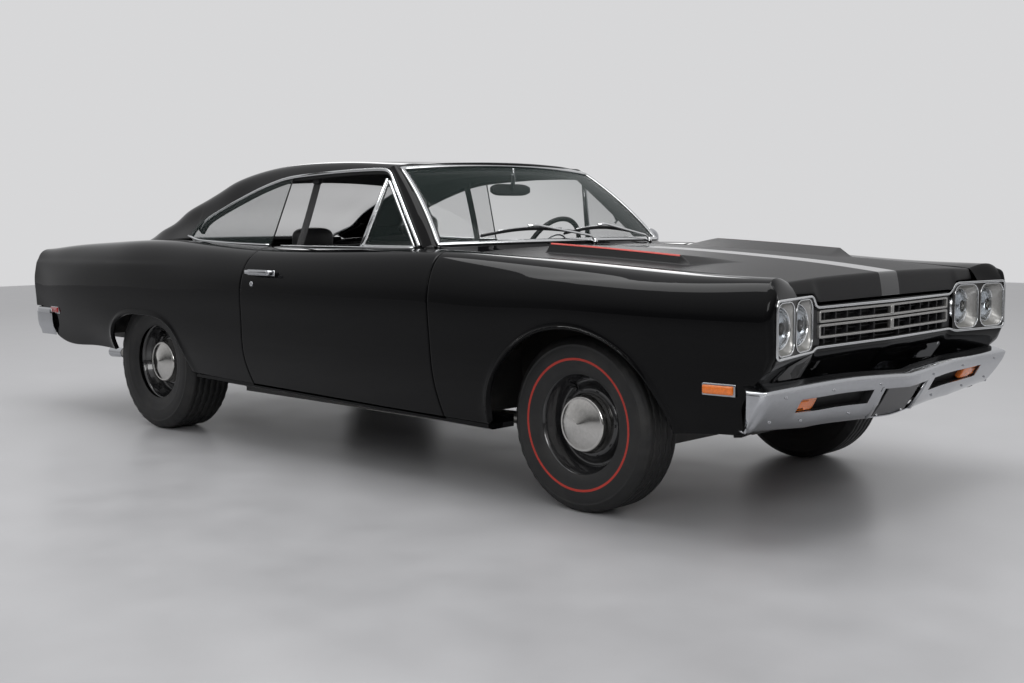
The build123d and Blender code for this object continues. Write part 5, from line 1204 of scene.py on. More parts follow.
def flat_round(points, radius, closed=False):
    """A line through (X, Z) corners, each rounded off."""
    return [(x, z) for x, z, _ in round_path([(x, z, 0) for x, z in points], radius, closed=closed)]


GLASS_UP = (0, 1, 0.35)
belt = flat_round([(0.7, 0.981), (-0.3, 0.979), (-0.7, 0.986), (-1.0, 0.999), (-1.092, 1.02)], 0.1)
front_edge = [(-0.325, 1.3), (-0.3365, 1.2), (-0.349, 1.09), (-0.362, 0.975)]
quarter = [(x, z - 0.004) for x, z in OPENING_TOP if x < -0.34] + front_edge
quarter += [(-0.6, 0.978), (-0.85, 0.984), (-1.0, 0.992), (-1.085, 1.01)]
vent = [(0.335, 0.984), (0.672, 0.984), (0.4, 1.268), (0.388, 1.268)]
for side, sign in SIDES:
    body = f"door_{side}"
    pane(f"quarter_pane_{side}", quarter, sign, replaces=["quarter_glass"] if sign > 0 else ())
    pane(f"vent_pane_{side}", vent, sign, body, replaces=[f"vent_window_{side}"])
    sweep(f"vent_frame_{side}", on_glass(flat_round(vent, 0.006, closed=True), sign), (0.013, 0.014, 0.003, 2),
          TRIM, body, up=GLASS_UP, closed=True)
    for name, line, out, section, mat, rides in (
            ("quarter_edge", front_edge, 0.0, (0.004, 0.008, 0.0015, 1), SEAL, "body"),
            ("belt_trim", [p for p in belt if p[0] < -0.352], 0.01, (0.01, 0.012, 0.003, 2), TRIM, "body"),
            ("door_belt_trim", [(x, z - 0.002) for x, z in belt if -0.296 < x < 0.7], 0.01,
             (0.01, 0.01, 0.003, 2), TRIM, body),
            ("vent_post", [(0.318, 0.975), (0.382, 1.28)], 0.0, (0.016, 0.018, 0.004, 2), TRIM, body),
            ("vent_latch", [(0.545, 1.075), (0.56, 1.085), (0.548, 1.12), (0.538, 1.128)], -0.01,
             (0.012, 0.01, 0.003, 2), CHROME, body)):
        sweep(f"{name}_{side}", on_glass(line, sign, out), section, mat, rides, up=GLASS_UP)


# ---- cowl, wipers, mirrors, handles --------------------------------------------------------------
rows = []
for t in linspace(0, 1, 14):
    row = []
    for share in linspace(-1, 1, 41):
        near = screen_foot(share) + (0.01, 0, -0.004)
        far = array((1.001, 0.722 * share, 0.938 + 0.006 * (1 - share ** 2)))
        row.append(near + (far - near) * t - array((0, 0, 0.006)) * 4 * t * (1 - t))
    rows.append(row)
skin("cowl_skin", rows, PAINT, (0.9, 0, 0.5), depth=0.016, replaces=["cowl"])
# The cowl's vent slots are dark boxes set into the closed cowl: painted shade for the dark insides of the
# slots.
for k, y in enumerate(linspace(-0.42, 0.42, 15)):
    x, _, z = rows[4][int(round(20 + y / 0.73 * 20))]
    solid_box(f"cowl_slot_shade_{k}", (x - 0.008, y - 0.021, z - 0.006), (x + 0.008, y + 0.021, z + 0.0015), SEAL,
              bevel=0.001)
for name, low, high, pivot in (("right", -0.74, -0.02, 0.12), ("left", -0.12, 0.62, 0.82)):
    blade = [screen_point(a, 0.055 + 0.05 * sin(pi * (a - low) / (high - low)) + 0.025 * (a - low),
                          (0.012, 0, 0.012)) for a in linspace(low, high, 20)]
    spine = [p + (0.007, 0, 0.008) for p in blade[3:-3]]
    root = screen_foot(pivot) + (0.022, 0, -0.004)
    arm = round_path([root, root + (0.004, -0.03, 0.026), spine[6] + (0.006, 0.05, 0.01),
                      spine[6] + (0.004, 0, 0.006)], 0.02)
    for part, path, section, mat in (("blade", blade, (0.007, 0.014, 0.002, 2), PLASTIC),
                                     ("spine", spine, (0.005, 0.006, 0.002, 2), TRIM),
                                     ("arm", arm, (0.013, 0.007, 0.003, 2), TRIM)):
        sweep(f"wiper_{part}_{name}", path, section, mat, up=SCREEN_UP)
    stud(f"wiper_knob_{name}", root, (0, 0, 1), ((-0.012, 0.013), (0.0, 0.013), (0.01, 0.01), (0.014, 0.004)),
         TRIM, count=18, up=(1, 0, 0))
across = linspace(-1, 1, 17)
back = [(0.47 - 0.01 * (1 - a * a), 0.03 + 0.128 * a, 1.2375) for a in across]
sweep("inside_mirror", back, [rounded(0.02, 0.03 + 0.026 * (1 - a ** 6), 0.009, 3) for a in across], PLASTIC)
sweep("inside_mirror_glass", [(x - 0.0115, y, z) for x, y, z in back[1:-1]],
      [rounded(0.002, 0.022 + 0.026 * (1 - a ** 6), 0.0008, 1) for a in across[1:-1]], CHROME)
sweep("inside_mirror_stem", round_path([(0.478, 0.03, 1.24), (0.505, 0.015, 1.285), (0.51, 0.0, 1.338)], 0.02),
      (0.012, 0.02, 0.004, 2), TRIM, up=(1, 0, 0))
sweep("door_mirror_head", [(x, 0.905, 0.998) for x in (0.662, 0.655, 0.64, 0.622, 0.616)],
      [ring(r, 28, high) for r, high in ((0.03, 0.024), (0.044, 0.037), (0.053, 0.046), (0.056, 0.049),
                                         (0.055, 0.048))], CHROME, "door_left", replaces=["side_mirror"])
sweep("door_mirror_glass", [(x, 0.905, 0.998) for x in (0.6165, 0.6145)], ring(0.051, 28, 0.044), LENS,
      "door_left")
sweep("door_mirror_stem", round_path([(0.648, 0.902, 0.99), (0.652, 0.892, 0.965), (0.655, 0.888, 0.945)],
                                     0.02), (0.02, 0.014, 0.005, 2), CHROME, "door_left", up=(1, 0, 0))
solid_box("door_mirror_foot", (0.625, 0.87, 0.943), (0.69, 0.905, 0.955), CHROME, "door_left", bevel=0.005)


def on_side(x, z, sign, out=0.0):
    """A point that stands out from the body's side."""
    points = column(x)
    return x, sign * (float(interp(z, points[:SIDE_RISING, 2], points[:SIDE_RISING, 1])) + out), z


for side, sign in SIDES:
    body, outward = f"door_{side}", (0, sign, 0)
    base = [on_side(x, 0.86, sign, 0.002) for x in linspace(-0.262, -0.05, 16)]
    sweep(f"handle_base_{side}", base, (0.006, 0.026, 0.002, 2), CHROME, body)
    grip = [on_side(x, 0.86, sign, out)[:2] + (0.862,) for x, out in (
        (-0.256, 0.004), (-0.25, 0.024), (-0.2, 0.031), (-0.13, 0.031), (-0.078, 0.026), (-0.064, 0.004))]
    sweep(f"handle_grip_{side}", round_path(grip, 0.012), (0.012, 0.019, 0.005, 3), CHROME, body)
    stud(f"handle_button_{side}", on_side(-0.066, 0.862, sign), outward,
         ((0.0, 0.013), (0.012, 0.013), (0.03, 0.012), (0.034, 0.01), (0.036, 0.003)), CHROME, body, count=22)
    stud(f"door_lock_{side}", on_side(-0.235, 0.806, sign), outward,
         ((-0.002, 0.013), (0.003, 0.012), (0.005, 0.008)), CHROME, body, count=22)
    for end, x0, x1, z, mat in (("front", 2.283, 2.396, 0.533, AMBER),
                                ("rear", -2.338, -2.24, 0.588, RED_LENS)):
        base = [[on_side(x, z, sign, 0.003)[:2] + (z + dz,) for dz in linspace(-0.021, 0.021, 6)]
                for x in linspace(x0 - 0.006, x1 + 0.006, 12)]
        skin(f"marker_{end}_{side}_frame", base, CHROME, (0, 0, 0.5), depth=0.01)
        lens = [[on_side(x, z, sign, 0.004 + 0.008 * (1 - (dz / 0.019) ** 4))[:2] + (z + dz,)
                 for dz in linspace(-0.0165, 0.0165, 10)] for x in linspace(x0, x1, 14)]
        skin(f"marker_{end}_{side}", lens, mat, (0, 0, 0.5), depth=0.012)


# ---- seats ---------------------------------------------------------------------------------------
def pad(name, low, high, channels=(), crown=0.012, lean=0.0, squareness=7, face="z", roll=0.0, seam=True,
        **options):
    """A stuffed pad: a rounded, crowned closed form with sewn channels on its used face and a welt round it.

    channels holds the channels' places across the car, lean how far back each metre of height stands, and roll
    how much higher the front edge is.
    """
    low, high = array(low, float), array(high, float)
    half, middle = (high - low) / 2, (high + low) / 2
    mesh = bmesh.new()
    bmesh.ops.create_cube(mesh, size=2.0)
    bmesh.ops.subdivide_edges(mesh, edges=mesh.edges[:], cuts=34, use_grid_fill=True)
    mesh.verts.index_update()
    points = array([v.co[:] for v in mesh.verts])
    faces = [[v.index for v in f.verts] for f in mesh.faces]
    mesh.free()
    points /= ((np.abs(points) ** squareness).sum(1) ** (1 / squareness))[:, None]
    axis = "xyz".index(face)
    first, second = [k for k in range(3) if k != axis]
    swell = (1 - points[:, first] ** 2) * (1 - points[:, second] ** 2)
    place = middle + points * half
    depth = np.zeros(len(points))
    for at in channels:
        depth += 0.0075 * np.exp(-((place[:, 1] - at) / 0.0085) ** 2) * clip(swell * 6, 0, 1)
    soft = 0.0016 * np.sin(place[:, 0] * 31 + place[:, 1] * 23) * np.sin(place[:, 1] * 41 + place[:, 2] * 17)
    place[:, axis] += np.where(points[:, axis] > 0.0, crown * swell - depth + soft * swell, 0)

    def set_in_place(p):
        p[:, 0] -= lean * (p[:, 2] - low[2])
        p[:, 2] += roll * clip((p[:, 0] - middle[0]) / half[0], -1, 1)
        return p

    add_mesh(name, set_in_place(place), faces, VINYL, **options)
    if seam:
        line, rim = [], 0.93                                    # the welt's share of the pad's half thickness
        for t in linspace(0, tau, 96, endpoint=False):
            c, s = cos(t), sin(t)
            p = np.zeros(3)
            p[[first, second, axis]] = c, s, rim
            p *= (abs(c) ** squareness + abs(s) ** squareness + rim ** squareness) ** (-1 / squareness)
            line.append(middle + p * half * 1.002)
        sweep(f"{name}_welt", set_in_place(array(line)), ring(0.0038, 8), VINYL, up=tuple(np.eye(3)[axis]),
              closed=True)


stitches = [y for y in np.arange(-0.56, 0.57, 0.08) if abs(y) > 0.02]
pad("front_cushion", (-0.415, -0.636, 0.43), (0.105, 0.636, 0.556), stitches, crown=0.016, roll=0.012,
    replaces=["front_seat"])
pad("front_back", (-0.5, -0.632, 0.5), (-0.392, 0.632, 0.955), stitches, crown=0.018, lean=0.28, face="x",
    squareness=6)
for side, sign in SIDES:
    y, raised = sign * 0.37, 0.012 if sign > 0 else -0.052
    pad(f"head_rest_{side}", (-0.6, y - 0.12, 0.982 + raised), (-0.52, y + 0.12, 1.112 + raised), crown=0.01,
        face="x", squareness=3.2, seam=False)
    sweep(f"head_rest_stem_{side}", [(-0.558, y, z) for z in (0.9, 0.95, 1.0 + raised)],
          (0.01, 0.022, 0.003, 2), TRIM, up=(1, 0, 0))
    inner, outer = sorted((sign * 0.24, sign * 0.55))
    solid_box(f"seat_track_{side}", (-0.36, inner, 0.276), (0.05, inner + 0.04, 0.436), CHASSIS)
    solid_box(f"seat_rail_{side}", (-0.36, outer - 0.04, 0.276), (0.05, outer, 0.436), CHASSIS)
stitches = [y for y in np.arange(-0.48, 0.49, 0.08) if abs(y) > 0.02]
pad("rear_cushion", (-1.0, -0.536, 0.452), (-0.628, 0.536, 0.572), stitches, crown=0.014, roll=0.01,
    replaces=["rear_seat"])
pad("rear_back", (-1.03, -0.536, 0.56), (-0.945, 0.536, 0.925), stitches, crown=0.014, lean=0.33, face="x",
    squareness=6)
shelf = [[(x, y, 0.93) for y in linspace(-0.6, 0.6, 9)] for x in linspace(-1.56, -1.12, 9)]
skin("parcel_shelf", shelf, CARPET, (-1.3, 0, 0.5), depth=0.014)


# ---- dashboard, wheel, trim ----------------------------------------------------------------------
outline = [(0.965, 0.88), (0.965, 0.945), (0.88, 0.968), (0.77, 0.97), (0.695, 0.956), (0.668, 0.93),
           (0.684, 0.9), (0.712, 0.885), (0.716, 0.8), (0.7, 0.78), (0.712, 0.735), (0.76, 0.705), (0.86, 0.7),
           (0.965, 0.745)]
rows = [[(x - 0.018 * (1 - (y / 0.66) ** 2) * climb(0.95 - x, 0.1), y, z)
         for x, z in flat_round(outline, 0.014, closed=True)] for y in linspace(-0.662, 0.662, 27)]
sheet("dash_body", rows, VINYL, across=True, caps=True, replaces=["dashboard"])
for name, low, high, mat, bevel in (
        ("dash_panel", (0.688, 0.13, 0.778), (0.706, 0.62, 0.862), PLASTIC, 0.006),
        ("dash_panel_trim", (0.69, 0.125, 0.773), (0.696, 0.625, 0.867), TRIM, 0.002),
        ("radio_face", (0.694, -0.1, 0.8), (0.706, 0.09, 0.85), PLASTIC, 0.004),
        ("glove_door", (0.697, -0.58, 0.775), (0.708, -0.2, 0.852), VINYL, 0.006)):
    solid_box(name, low, high, mat, bevel=bevel)
BACK = (-1, 0, 0)
for k, (y, r) in enumerate(((0.2, 0.028), (0.29, 0.036), (0.4, 0.036), (0.49, 0.028), (0.565, 0.024))):
    stud(f"dial_ring_{k}", (0.69, y, 0.822), BACK, ((0, r), (0.006, r)), TRIM, count=32)
    stud(f"dial_face_{k}", (0.69, y, 0.822), BACK, ((0, r * 0.9), (0.0045, r * 0.9)), SEAL, count=32)
    sweep(f"dial_needle_{k}", [(0.6835, y, 0.822), (0.6835, y + r * 0.5, 0.822 + r * 0.45)],
          (0.002, 0.001, 0.0003, 1), RED_PAINT, up=(1, 0, 0))
for k, y in enumerate((-0.08, 0.07)):
    stud(f"radio_knob_{k}", (0.695, y, 0.825), BACK, ((0, 0.011), (0.015, 0.01), (0.018, 0.006)), TRIM,
         count=20)
stud("glove_lock", (0.699, -0.39, 0.835), BACK, ((0, 0.01), (0.007, 0.009), (0.009, 0.005)), TRIM, count=18)

TILT = radians(25)
hub = array((0.42, 0.372, 0.925))
to_driver, up_wheel = array((-cos(TILT), 0, sin(TILT))), array((sin(TILT), 0, cos(TILT)))


def on_wheel(radius, angle, out=0.0):
    """A point on the steering wheel's plane."""
    return hub + (0, radius * cos(angle), 0) + up_wheel * radius * sin(angle) + to_driver * out


def behind_hub(back, left=0.0, raised=0.0):
    """A point beside the steering column."""
    return hub - to_driver * back + (0, left, raised)


WHEEL_WAY = tuple(to_driver)
grips = [[(a * (1 + 0.05 * (k % 2)), b * (1 + 0.05 * (k % 2))) for a, b in ring(0.0125, 16, 0.0105)]
         for k in range(96)]
sweep("steering_rim", [on_wheel(0.19, tau * k / 96) for k in range(96)], grips, PLASTIC, "steering_wheel",
      up=WHEEL_WAY, closed=True, replaces=["steering_wheel"])
for k, angle in enumerate((radians(8), radians(172), radians(270))):
    arm = [on_wheel(r, angle, out) for r, out in ((0.024, -0.012), (0.08, -0.016), (0.14, -0.01), (0.186, 0.0))]
    sections = [rounded(w, h, 0.003, 2) for w, h in ((0.034, 0.008), (0.028, 0.007), (0.024, 0.007),
                                                     (0.028, 0.008))]
    sweep(f"steering_spoke_{k}", arm, sections, TRIM, "steering_wheel", up=WHEEL_WAY)
stud("steering_hub", hub, to_driver, ((-0.04, 0.026), (-0.034, 0.03), (-0.006, 0.036), (0.004, 0.036),
                                      (0.01, 0.028), (0.012, 0.01)), PLASTIC, "steering_wheel", 40,
     up=(0, 1, 0))
sweep("steering_horn_ring", [on_wheel(0.105, tau * k / 64, -0.004) for k in range(64)], ring(0.0042, 10),
      CHROME, "steering_wheel", up=WHEEL_WAY, closed=True)
stud("steering_column", hub, -to_driver, ((0.048, 0.026), (0.052, 0.032), (0.16, 0.032), (0.3, 0.034)), PLASTIC,
     count=28, up=(0, 1, 0))
sweep("turn_lever", [behind_hub(0.1, d, d * 0.15) for d in (0.03, 0.1, 0.15, 0.156)],
      [ring(r, 12) for r in (0.004, 0.004, 0.006, 0.003)], TRIM)
sweep("shift_lever", round_path([behind_hub(0.09, -0.03), behind_hub(0.09, -0.12, 0.06),
                                 behind_hub(0.07, -0.19, 0.07)], 0.03), ring(0.005, 12), TRIM)

CARD = ((0.955, 0.762), (0.9, 0.742), (0.84, 0.73), (0.7, 0.724), (0.55, 0.722), (0.4, 0.735), (0.345, 0.745))


def door_card(sign):
    """A door's inner panel with its pressed upright grooves."""
    rows = [[(x, sign * y, z) for x in linspace(leaned(-0.285, z), 0.735, 60)] for z, y in CARD]
    rows = array(rows)
    fine = array([a + (b - a) * t for a, b in zip(rows, rows[1:]) for t in linspace(0, 1, 8, endpoint=False)]
                 + [rows[-1]])
    x, z = fine[..., 0].copy(), fine[..., 2]
    for k in range(14):
        fine[..., 1] += sign * 0.004 * np.exp(-((x + 0.24 - k * 0.068) / 0.007) ** 2) * (z < 0.78) * (z > 0.5)
    return fine


def trim_y(z):
    """How far out the trim beside the rear seat stands at a height."""
    return 0.165 * clip((z - 0.72) / 0.24, 0, 1) ** 0.8


def box_out(name, x, y, z, sign, body="body", bevel=0.004):
    """A box whose Y range is given on the left side."""
    low, high = sorted((sign * y[0], sign * y[1]))
    solid_box(name, (x[0], low, z[0]), (x[1], high, z[1]), PLASTIC, body, bevel=bevel)


for side, sign in SIDES:
    body = f"door_{side}"
    skin(f"door_card_{side}", door_card(sign), VINYL, (0.2, sign * 1.2, 0.6), body, depth=0.016)
    arm = [(x, sign * 0.7, 0.64 + 0.012 * cos(x * 4)) for x in linspace(-0.15, 0.28, 15)]
    sweep(f"arm_rest_{side}", arm, [rounded(0.052 * min(1, 0.45 + 4.4 * t * (1 - t)), 0.04, 0.014, 3)
                                    for t in linspace(0, 1, 15)], VINYL, body)
    for name, line, section in (("window_crank", ((0.36, 0.722, 0.6), (0.36, 0.696, 0.6), (0.43, 0.692, 0.575),
                                                  (0.45, 0.676, 0.568), (0.45, 0.655, 0.568)),
                                 (0.012, 0.01, 0.003, 2)),
                                ("door_pull", ((0.2, 0.72, 0.76), (0.2, 0.7, 0.76), (0.1, 0.698, 0.758)),
                                 (0.02, 0.008, 0.003, 2))):
        path = round_path([(x, sign * y, z) for x, y, z in line], 0.008)
        sweep(f"{name}_{side}", path, section, CHROME, body)
    box_out(f"door_sill_cap_{side}", (-0.24, 0.32), (0.735, 0.772), (0.952, 0.968), sign, body=body,
            bevel=0.006)
    panel = [[(x, sign * (0.57 + trim_y(z)), z) for x in linspace(-1.42, -0.372, 40)]
             for z in linspace(0.46, 0.965, 18)]
    skin(f"quarter_trim_{side}", panel, VINYL, (-0.9, sign * 1.2, 0.6), depth=0.012)
    top, end = (-0.205, 0.6, 1.288), (-0.362, 0.64, 0.88)
    if sign > 0:
        top, end = (-0.42, 0.6, 1.275), (-0.36, 0.64, 0.88)
    top, end = array(top) * (1, sign, 1), array(end) * (1, sign, 1)
    line = [top + (end - top) * t + (0.006 * sin(pi * t), 0, 0) for t in linspace(0, 1, 24)]
    sweep(f"belt_{side}", line, (0.046, 0.0016, 0.0006, 1), WEBBING, up=(0, 1, 0.2))
    box_out(f"belt_anchor_{side}", (top[0] - 0.022, top[0] + 0.022), (0.592, 0.618), (1.272, 1.3), sign)
    box_out(f"belt_floor_{side}", (-0.385, -0.335), (0.625, 0.655), (0.84, 0.885), sign, bevel=0.005)


def carpet_z(x, y):
    """Height of the carpet: a hump over the gearbox, a slope under the pedals and a faint nap."""
    hump = 0.165 / (1 + np.exp((abs(y) - 0.145) / 0.018))
    toe = 0.3 * clip((x - 0.745) / 0.24, 0, 1)
    return 0.272 + max(hump, toe) + 0.0015 * sin(x * 60) * sin(y * 55)


sheet("carpet", [[(x, y, carpet_z(x, y)) for y in linspace(-0.655, 0.655, 60)]
                 for x in linspace(-0.6, 0.93, 50)], CARPET)
for k, (y, half, top) in enumerate(((0.43, 0.025, 0.48), (0.3, 0.025, 0.48), (0.545, 0.02, 0.52))):
    solid_box(f"pedal_{k}", (0.742, y - half, 0.42), (0.752, y + half, top), SEAL, bevel=0.003)
    sweep(f"pedal_arm_{k}", round_path([(0.75, y, 0.45), (0.8, y, 0.55), (0.86, y, 0.7)], 0.04),
          (0.008, 0.016, 0.002, 1), CHASSIS)


# ---- tail ----------------------------------------------------------------------------------------
TAIL = RA - 1.277


def fade(distance, width):
    """1 well below zero, 0 well above it."""
    return 1 / (1 + np.exp(distance / width))


def tail_x(y, z):
    """The tail panel's face: recessed a little in the middle, rolled at its top."""
    inset = 0.012 * fade(abs(y) - 0.395, 0.006) * fade(abs(z - 0.73) - 0.062, 0.004)
    return TAIL - 0.004 + inset + 0.02 * max(0, (z - 0.85) / 0.018) ** 2


def lens_x(y, z):
    """A tail lamp's swollen face with its fine ribs."""
    swell = 0.009 * (1 - ((y - 0.613) / 0.205) ** 6) * (1 - ((z - 0.73) / 0.052) ** 4)
    return TAIL - 0.0065 - swell + 0.001 * (int((z - 0.68) / 0.0052) % 2)


panel = [[(tail_x(y, z), y, z) for y in linspace(-0.822, 0.822, 150)] for z in list(linspace(0.6, 0.85, 60))
         + [0.858, 0.866]]
skin("tail_panel_skin", panel, PAINT, (0, 0, 0.7), depth=0.02, replaces=["tail_panel"])
panel = [[(TAIL + 0.052 + 0.012 * cos(z * 30), y, z) for y in linspace(-0.8, 0.8, 30)]
         for z in linspace(0.455, 0.606, 16)]
skin("tail_lower_skin", panel, CHASSIS, (0, 0, 0.7), depth=0.01)
for side, sign in SIDES:
    lens = [[(lens_x(y, z), sign * y, z) for y in linspace(0.412, 0.814, 60)]
            for z in linspace(0.682, 0.778, 56)]
    skin(f"tail_lamp_{side}", lens, RED_LENS, (0, sign * 0.6, 0.73), depth=0.006, replaces=["tail_lamps"]
         if sign > 0 else ())
    loop = round_path([(0.402, 0.672), (0.824, 0.672), (0.824, 0.788), (0.402, 0.788)], 0.012, closed=True)
    sweep(f"tail_lamp_frame_{side}", [(TAIL - 0.01, sign * y, z) for y, z in loop], (0.014, 0.016, 0.003, 2),
          TRIM, up=BACK, closed=True)
    for k, y in enumerate((0.547, 0.681)):
        bar = [(TAIL - 0.0165, sign * y, z) for z in (0.676, 0.73, 0.784)]
        sweep(f"tail_lamp_bar_{side}_{k}", bar, (0.007, 0.006, 0.002, 2), TRIM, up=BACK)
    rows = []
    for x, r in ((-1.1, 0.03), (-1.17, 0.0315), (-1.225, 0.0325), (-1.236, 0.033), (-1.24, 0.032),
                 (-1.238, 0.0302), (-1.225, 0.0296), (-1.12, 0.0285)):
        share = (-0.56 - x) / 0.675
        rows.append([(RA + x, sign * (0.425 + 0.005 * share) + r * cos(a), 0.3 - 0.01 * share + r * sin(a))
                     for a in linspace(0, tau, 40, endpoint=False)])
    sheet(f"exhaust_tip_{side}", rows, CHROME, across=True)
lip = [(TAIL - 0.006 + 0.002 * (abs(y) / 0.82) ** 2, y, 0.866) for y in linspace(-0.8, 0.8, 40)]
sweep("tail_upper_trim", lip, (0.008, 0.01, 0.003, 2), TRIM)
stud("trunk_lock", (TAIL, 0, 0.82), BACK, ((0, 0.015), (0.006, 0.014), (0.008, 0.01), (0.0085, 0.004)), CHROME,
     count=28)


def rear_bumper():
    """The rear bumper, whose rows run round the car; returns its line in plan."""
    corners = [(-(RA - 1.03), 0.926), (2.5, 0.926), (2.553, 0.886), (HL - 0.001, 0.49), (HL - 0.001, 0.0)]
    half = [(-float(x), float(y)) for x, y in flat_round(corners, 0.03) if y > 0.002]
    path = array([(x, y, 0) for x, y in half + [(0.001 - HL, 0.0)] + [(x, -y) for x, y in reversed(half)]])
    section = ((0.07, 0.578), (0.06, 0.592), (0.04, 0.5975), (0.016, 0.5975), (0.004, 0.594), (0.0, 0.586),
               (0.0015, 0.56), (0.003, 0.52), (0.008, 0.49), (0.02, 0.462), (0.036, 0.444), (0.06, 0.4405))
    inward = np.cross(unit(np.gradient(path, axis=0)), (0, 0, 1.0))
    inward *= np.where((inward * (array((-1.9, 0, 0)) - path)).sum(1) > 0, 1, -1)[:, None]
    grid = [[p + n * (min(d, 0.024) if abs(p[1]) > 0.84 else d) + (0, 0, z) for d, z in section]
            for p, n in zip(path, inward)]
    sheet("rear_bumper_chrome", grid, CHROME, thick=0.004, replaces=["rear_bumper"])
    return path[::-1]


rear_path = rear_bumper()
for side, sign in SIDES:
    for k, y in enumerate((0.23, 0.5, 0.78)):
        x = float(interp(y, rear_path[:, 1], rear_path[:, 0]))
        stud(f"rear_bumper_bolt_{side}_{k}", (x + 0.002, sign * y, 0.54), BACK, zip((0.0, 0.004, 0.006), BOLT),
             CHROME, up=(0, 1, 0))
    sweep(f"rear_bumper_iron_{side}", [(RA + x, sign * 0.4, 0.52) for x in (-1.24, -1.285)],
          (0.04, 0.05, 0.006, 2), CHASSIS)
plate = [[(-2.5805 - 0.0006 * cos(y * 30), y, z) for y in linspace(-0.15, 0.15, 12)]
         for z in linspace(0.43, 0.585, 8)]
skin("rear_plate_blank", plate, PLATE, (0, 0, 0.5), depth=0.002)
for k, y in enumerate((-0.09, 0.09)):
    stud(f"rear_plate_bolt_{k}", (-2.58, y, 0.57), BACK, zip((0.0, 0.003, 0.0045), SMALL_BOLT), TRIM, count=12,
         up=(0, 1, 0))
solid_box("rear_plate_bracket", (-2.579, -0.1, 0.555), (-2.572, 0.1, 0.585), CHASSIS, bevel=0.002)


# ---- underbody and engine ------------------------------------------------------------------------
def copied(name, change):
    """A copy of a CAD piece with some of its points moved."""
    node = nodes[name]
    points = array([node.matrix_world @ v.co for v in node.data.vertices])
    faces = [tuple(f.vertices) for f in node.data.polygons]
    add_mesh(f"{name}_shape", change(points), faces, CHASSIS, smooth=False, replaces=[name])


def taper_rails(points):
    """The rails rise towards the front bumper, and the tower tops stay under the cowl."""
    points[(points[:, 0] > 2.38) & (points[:, 2] < 0.37), 2] = 0.404
    points[points[:, 0] > 2.4, 0] = 2.4
    points[(points[:, 0] < 1.12) & (points[:, 2] > 0.925), 2] = 0.925
    return points


def flatten_eyes(points):
    """The lower hinge eyes stay inside the door's skin."""
    eyes = (np.abs(points[:, 1]) > 0.912) & (points[:, 2] < 0.62)
    points[eyes, 1] = np.sign(points[eyes, 1]) * 0.912
    return points


copied("front_structure", taper_rails)
copied("firewall", flatten_eyes)
engine_low, engine_high = (array(corner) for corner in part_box("engine"))
engine_low[0] = 1.06                                           # the rest of the CAD's engine is its gearbox
rear, right, foot = engine_low
front, left, top = engine_high
(mid_x, mid_y, _) = (engine_low + engine_high) / 2
gearbox = ((1.1, 0.385, 0.12), (1.04, 0.375, 0.115), (0.86, 0.352, 0.062), (0.8, 0.35, 0.06),
           (0.5, 0.348, 0.058), (0.37, 0.346, 0.045))
sweep("gearbox", [(x, 0, z) for x, z, _ in gearbox], [ring(r, 36) for _, _, r in gearbox], STEEL)
solid_box("gearbox_pan", (0.56, -0.075, 0.288), (0.86, 0.075, 0.315), STEEL, bevel=0.008)
solid_box("engine_block", (rear + 0.02, right + 0.1, foot), (front - 0.04, left - 0.1, top - 0.1), ORANGE,
          bevel=0.012, replaces=["engine"])
solid_box("engine_manifold", (rear + 0.1, mid_y - 0.09, top - 0.14), (front - 0.12, mid_y + 0.09, top - 0.055),
          STEEL, bevel=0.02)
for side, sign in SIDES:
    rows = []
    for x in linspace(rear + 0.05, front - 0.06, 14):
        near = min(1, min(x - rear - 0.05, front - 0.06 - x) / 0.03)
        rows.append([(x, mid_y + sign * (0.185 + 0.085 * cos(a) * (0.8 + 0.2 * near)),
                      top - 0.115 + 0.075 * max(0, sin(a)) ** 0.6 * (0.6 + 0.4 * near) - 0.03 * cos(a))
                     for a in linspace(0, pi, 16)])
    bank = mid_y + sign * 0.18
    skin(f"valve_cover_{side}", rows, CRINKLE, (mid_x, bank, top - 0.2), depth=0.006)
    solid_box(f"cylinder_head_{side}", (rear + 0.04, bank - 0.085, top - 0.23),
              (front - 0.05, bank + 0.085, top - 0.115), ORANGE, bevel=0.01)
    for k in range(4):
        x = rear + 0.13 + 0.125 * k
        lead = round_path([(x, mid_y + sign * 0.24, top - 0.07), (x, mid_y + sign * 0.21, top - 0.015),
                           (rear + 0.1, mid_y + sign * 0.05, top - 0.02)], 0.03)
        sweep(f"plug_lead_{side}_{k}", lead, ring(0.004, 8), SEAL)
stud("air_cleaner", (mid_x, mid_y, top - 0.055), (0, 0, 1),
     ((0, 0.165), (0.004, 0.178), (0.046, 0.178), (0.052, 0.168), (0.053, 0.03)), CRINKLE, count=64,
     up=(0, 1, 0))
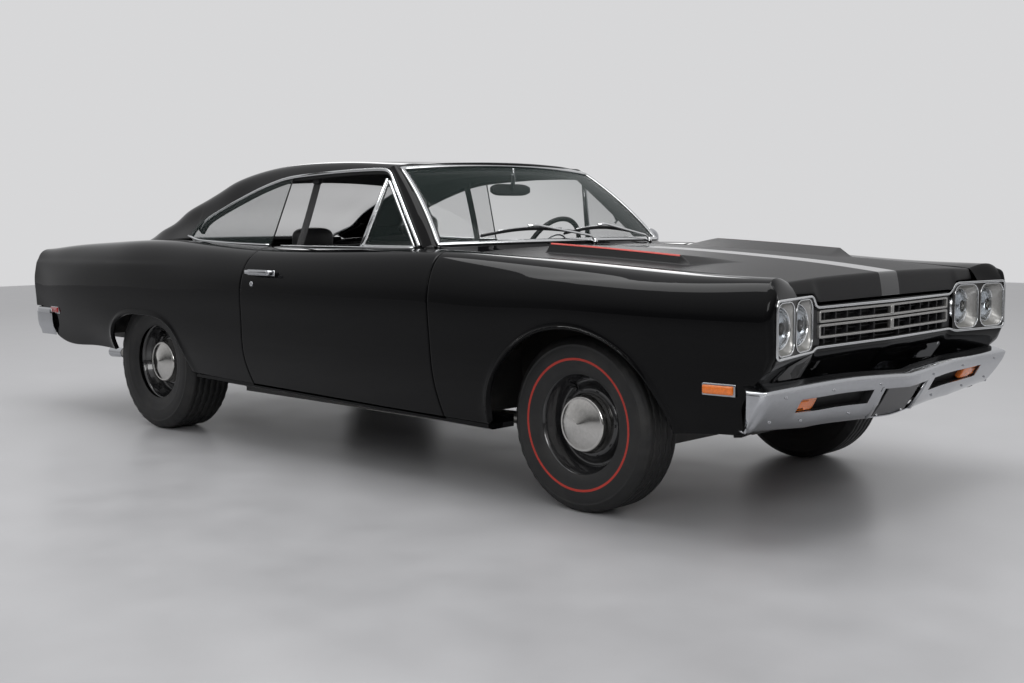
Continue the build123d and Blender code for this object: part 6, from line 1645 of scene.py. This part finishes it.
PULLEY = ((0.0, 0.95), (0.004, 1.0), (0.01, 0.86), (0.016, 0.86), (0.024, 1.0), (0.028, 0.95))
for k, (y, z, r) in enumerate(((0, -0.38, 0.085), (0, -0.2, 0.065), (0.17, -0.24, 0.05))):
    stud(f"pulley_{k}", (front - 0.03, mid_y + y, top + z), (1, 0, 0), [(d, r * share) for d, share in PULLEY],
         STEEL, count=40)
for mat, names in ((CHASSIS, ("floor_pan", "rear_floor", "front_suspension", "rear_axle", "radiator")),
                   (STEEL, ("knuckle_left", "knuckle_right", "driveshaft", "fuel_tank", "exhaust")),
                   (RUST, ("leaf_springs",)), (PAINT, ("sills",))):
    for name in names:
        for slot in nodes[name].material_slots:
            slot.material = mat


# ---- closing faces -------------------------------------------------------------------------------
def closing(name, edge, other, inward, body="body"):
    """A sheet between two edges, on both sides of the car."""
    edge, other = array(edge), array(other)
    rows = array([edge + (other - edge) * t for t in linspace(0, 1, 6)])
    for side, sign in SIDES:
        skin(f"{name}_{side}", rows * (1, sign, 1), PAINT, inward, body.format(side), depth=0.004)


edge = cut_column(column(-2.555), 0.603, 40) - (0, 0.006, 0)
closing("tail_end", edge, [(TAIL + 0.003, min(y - 0.004, 0.817), min(z - 0.004, 0.864)) for x, y, z in edge],
        (-2.0, 0, 0.7))
card_zs, card_ys = zip(*sorted(row for row in CARD if row[0] != 0.7))
edge = door_grid[0] - (0, 0.012, 0)
closing("door_end", edge + (0.003, 0, 0), [(leaned(-0.285, z), interp(z, card_zs, card_ys),
                                            min(max(z, 0.346), 0.955)) for x, y, z in edge], (0.3, 0, 0.6),
        "door_{}")
edge = [p for p in door_grid[:, 0] if p[0] < 0.74]
closing("door_bottom", array(edge) + (0, -0.01, 0.006), [(max(x, -0.305), 0.745, 0.35) for x, y, z in edge],
        (0.2, 0, 0.8), "door_{}")
edge = cut_column(column(DOOR_REAR - GAP - 0.004, DOOR_LEAN), 0.335, 40)
closing("door_jamb", edge - (0.006, 0.014, 0), [(leaned(-0.394, z), 0.575 + trim_y(z), min(z, 0.955))
                                                for x, y, z in edge], (-0.8, 0, 0.6))
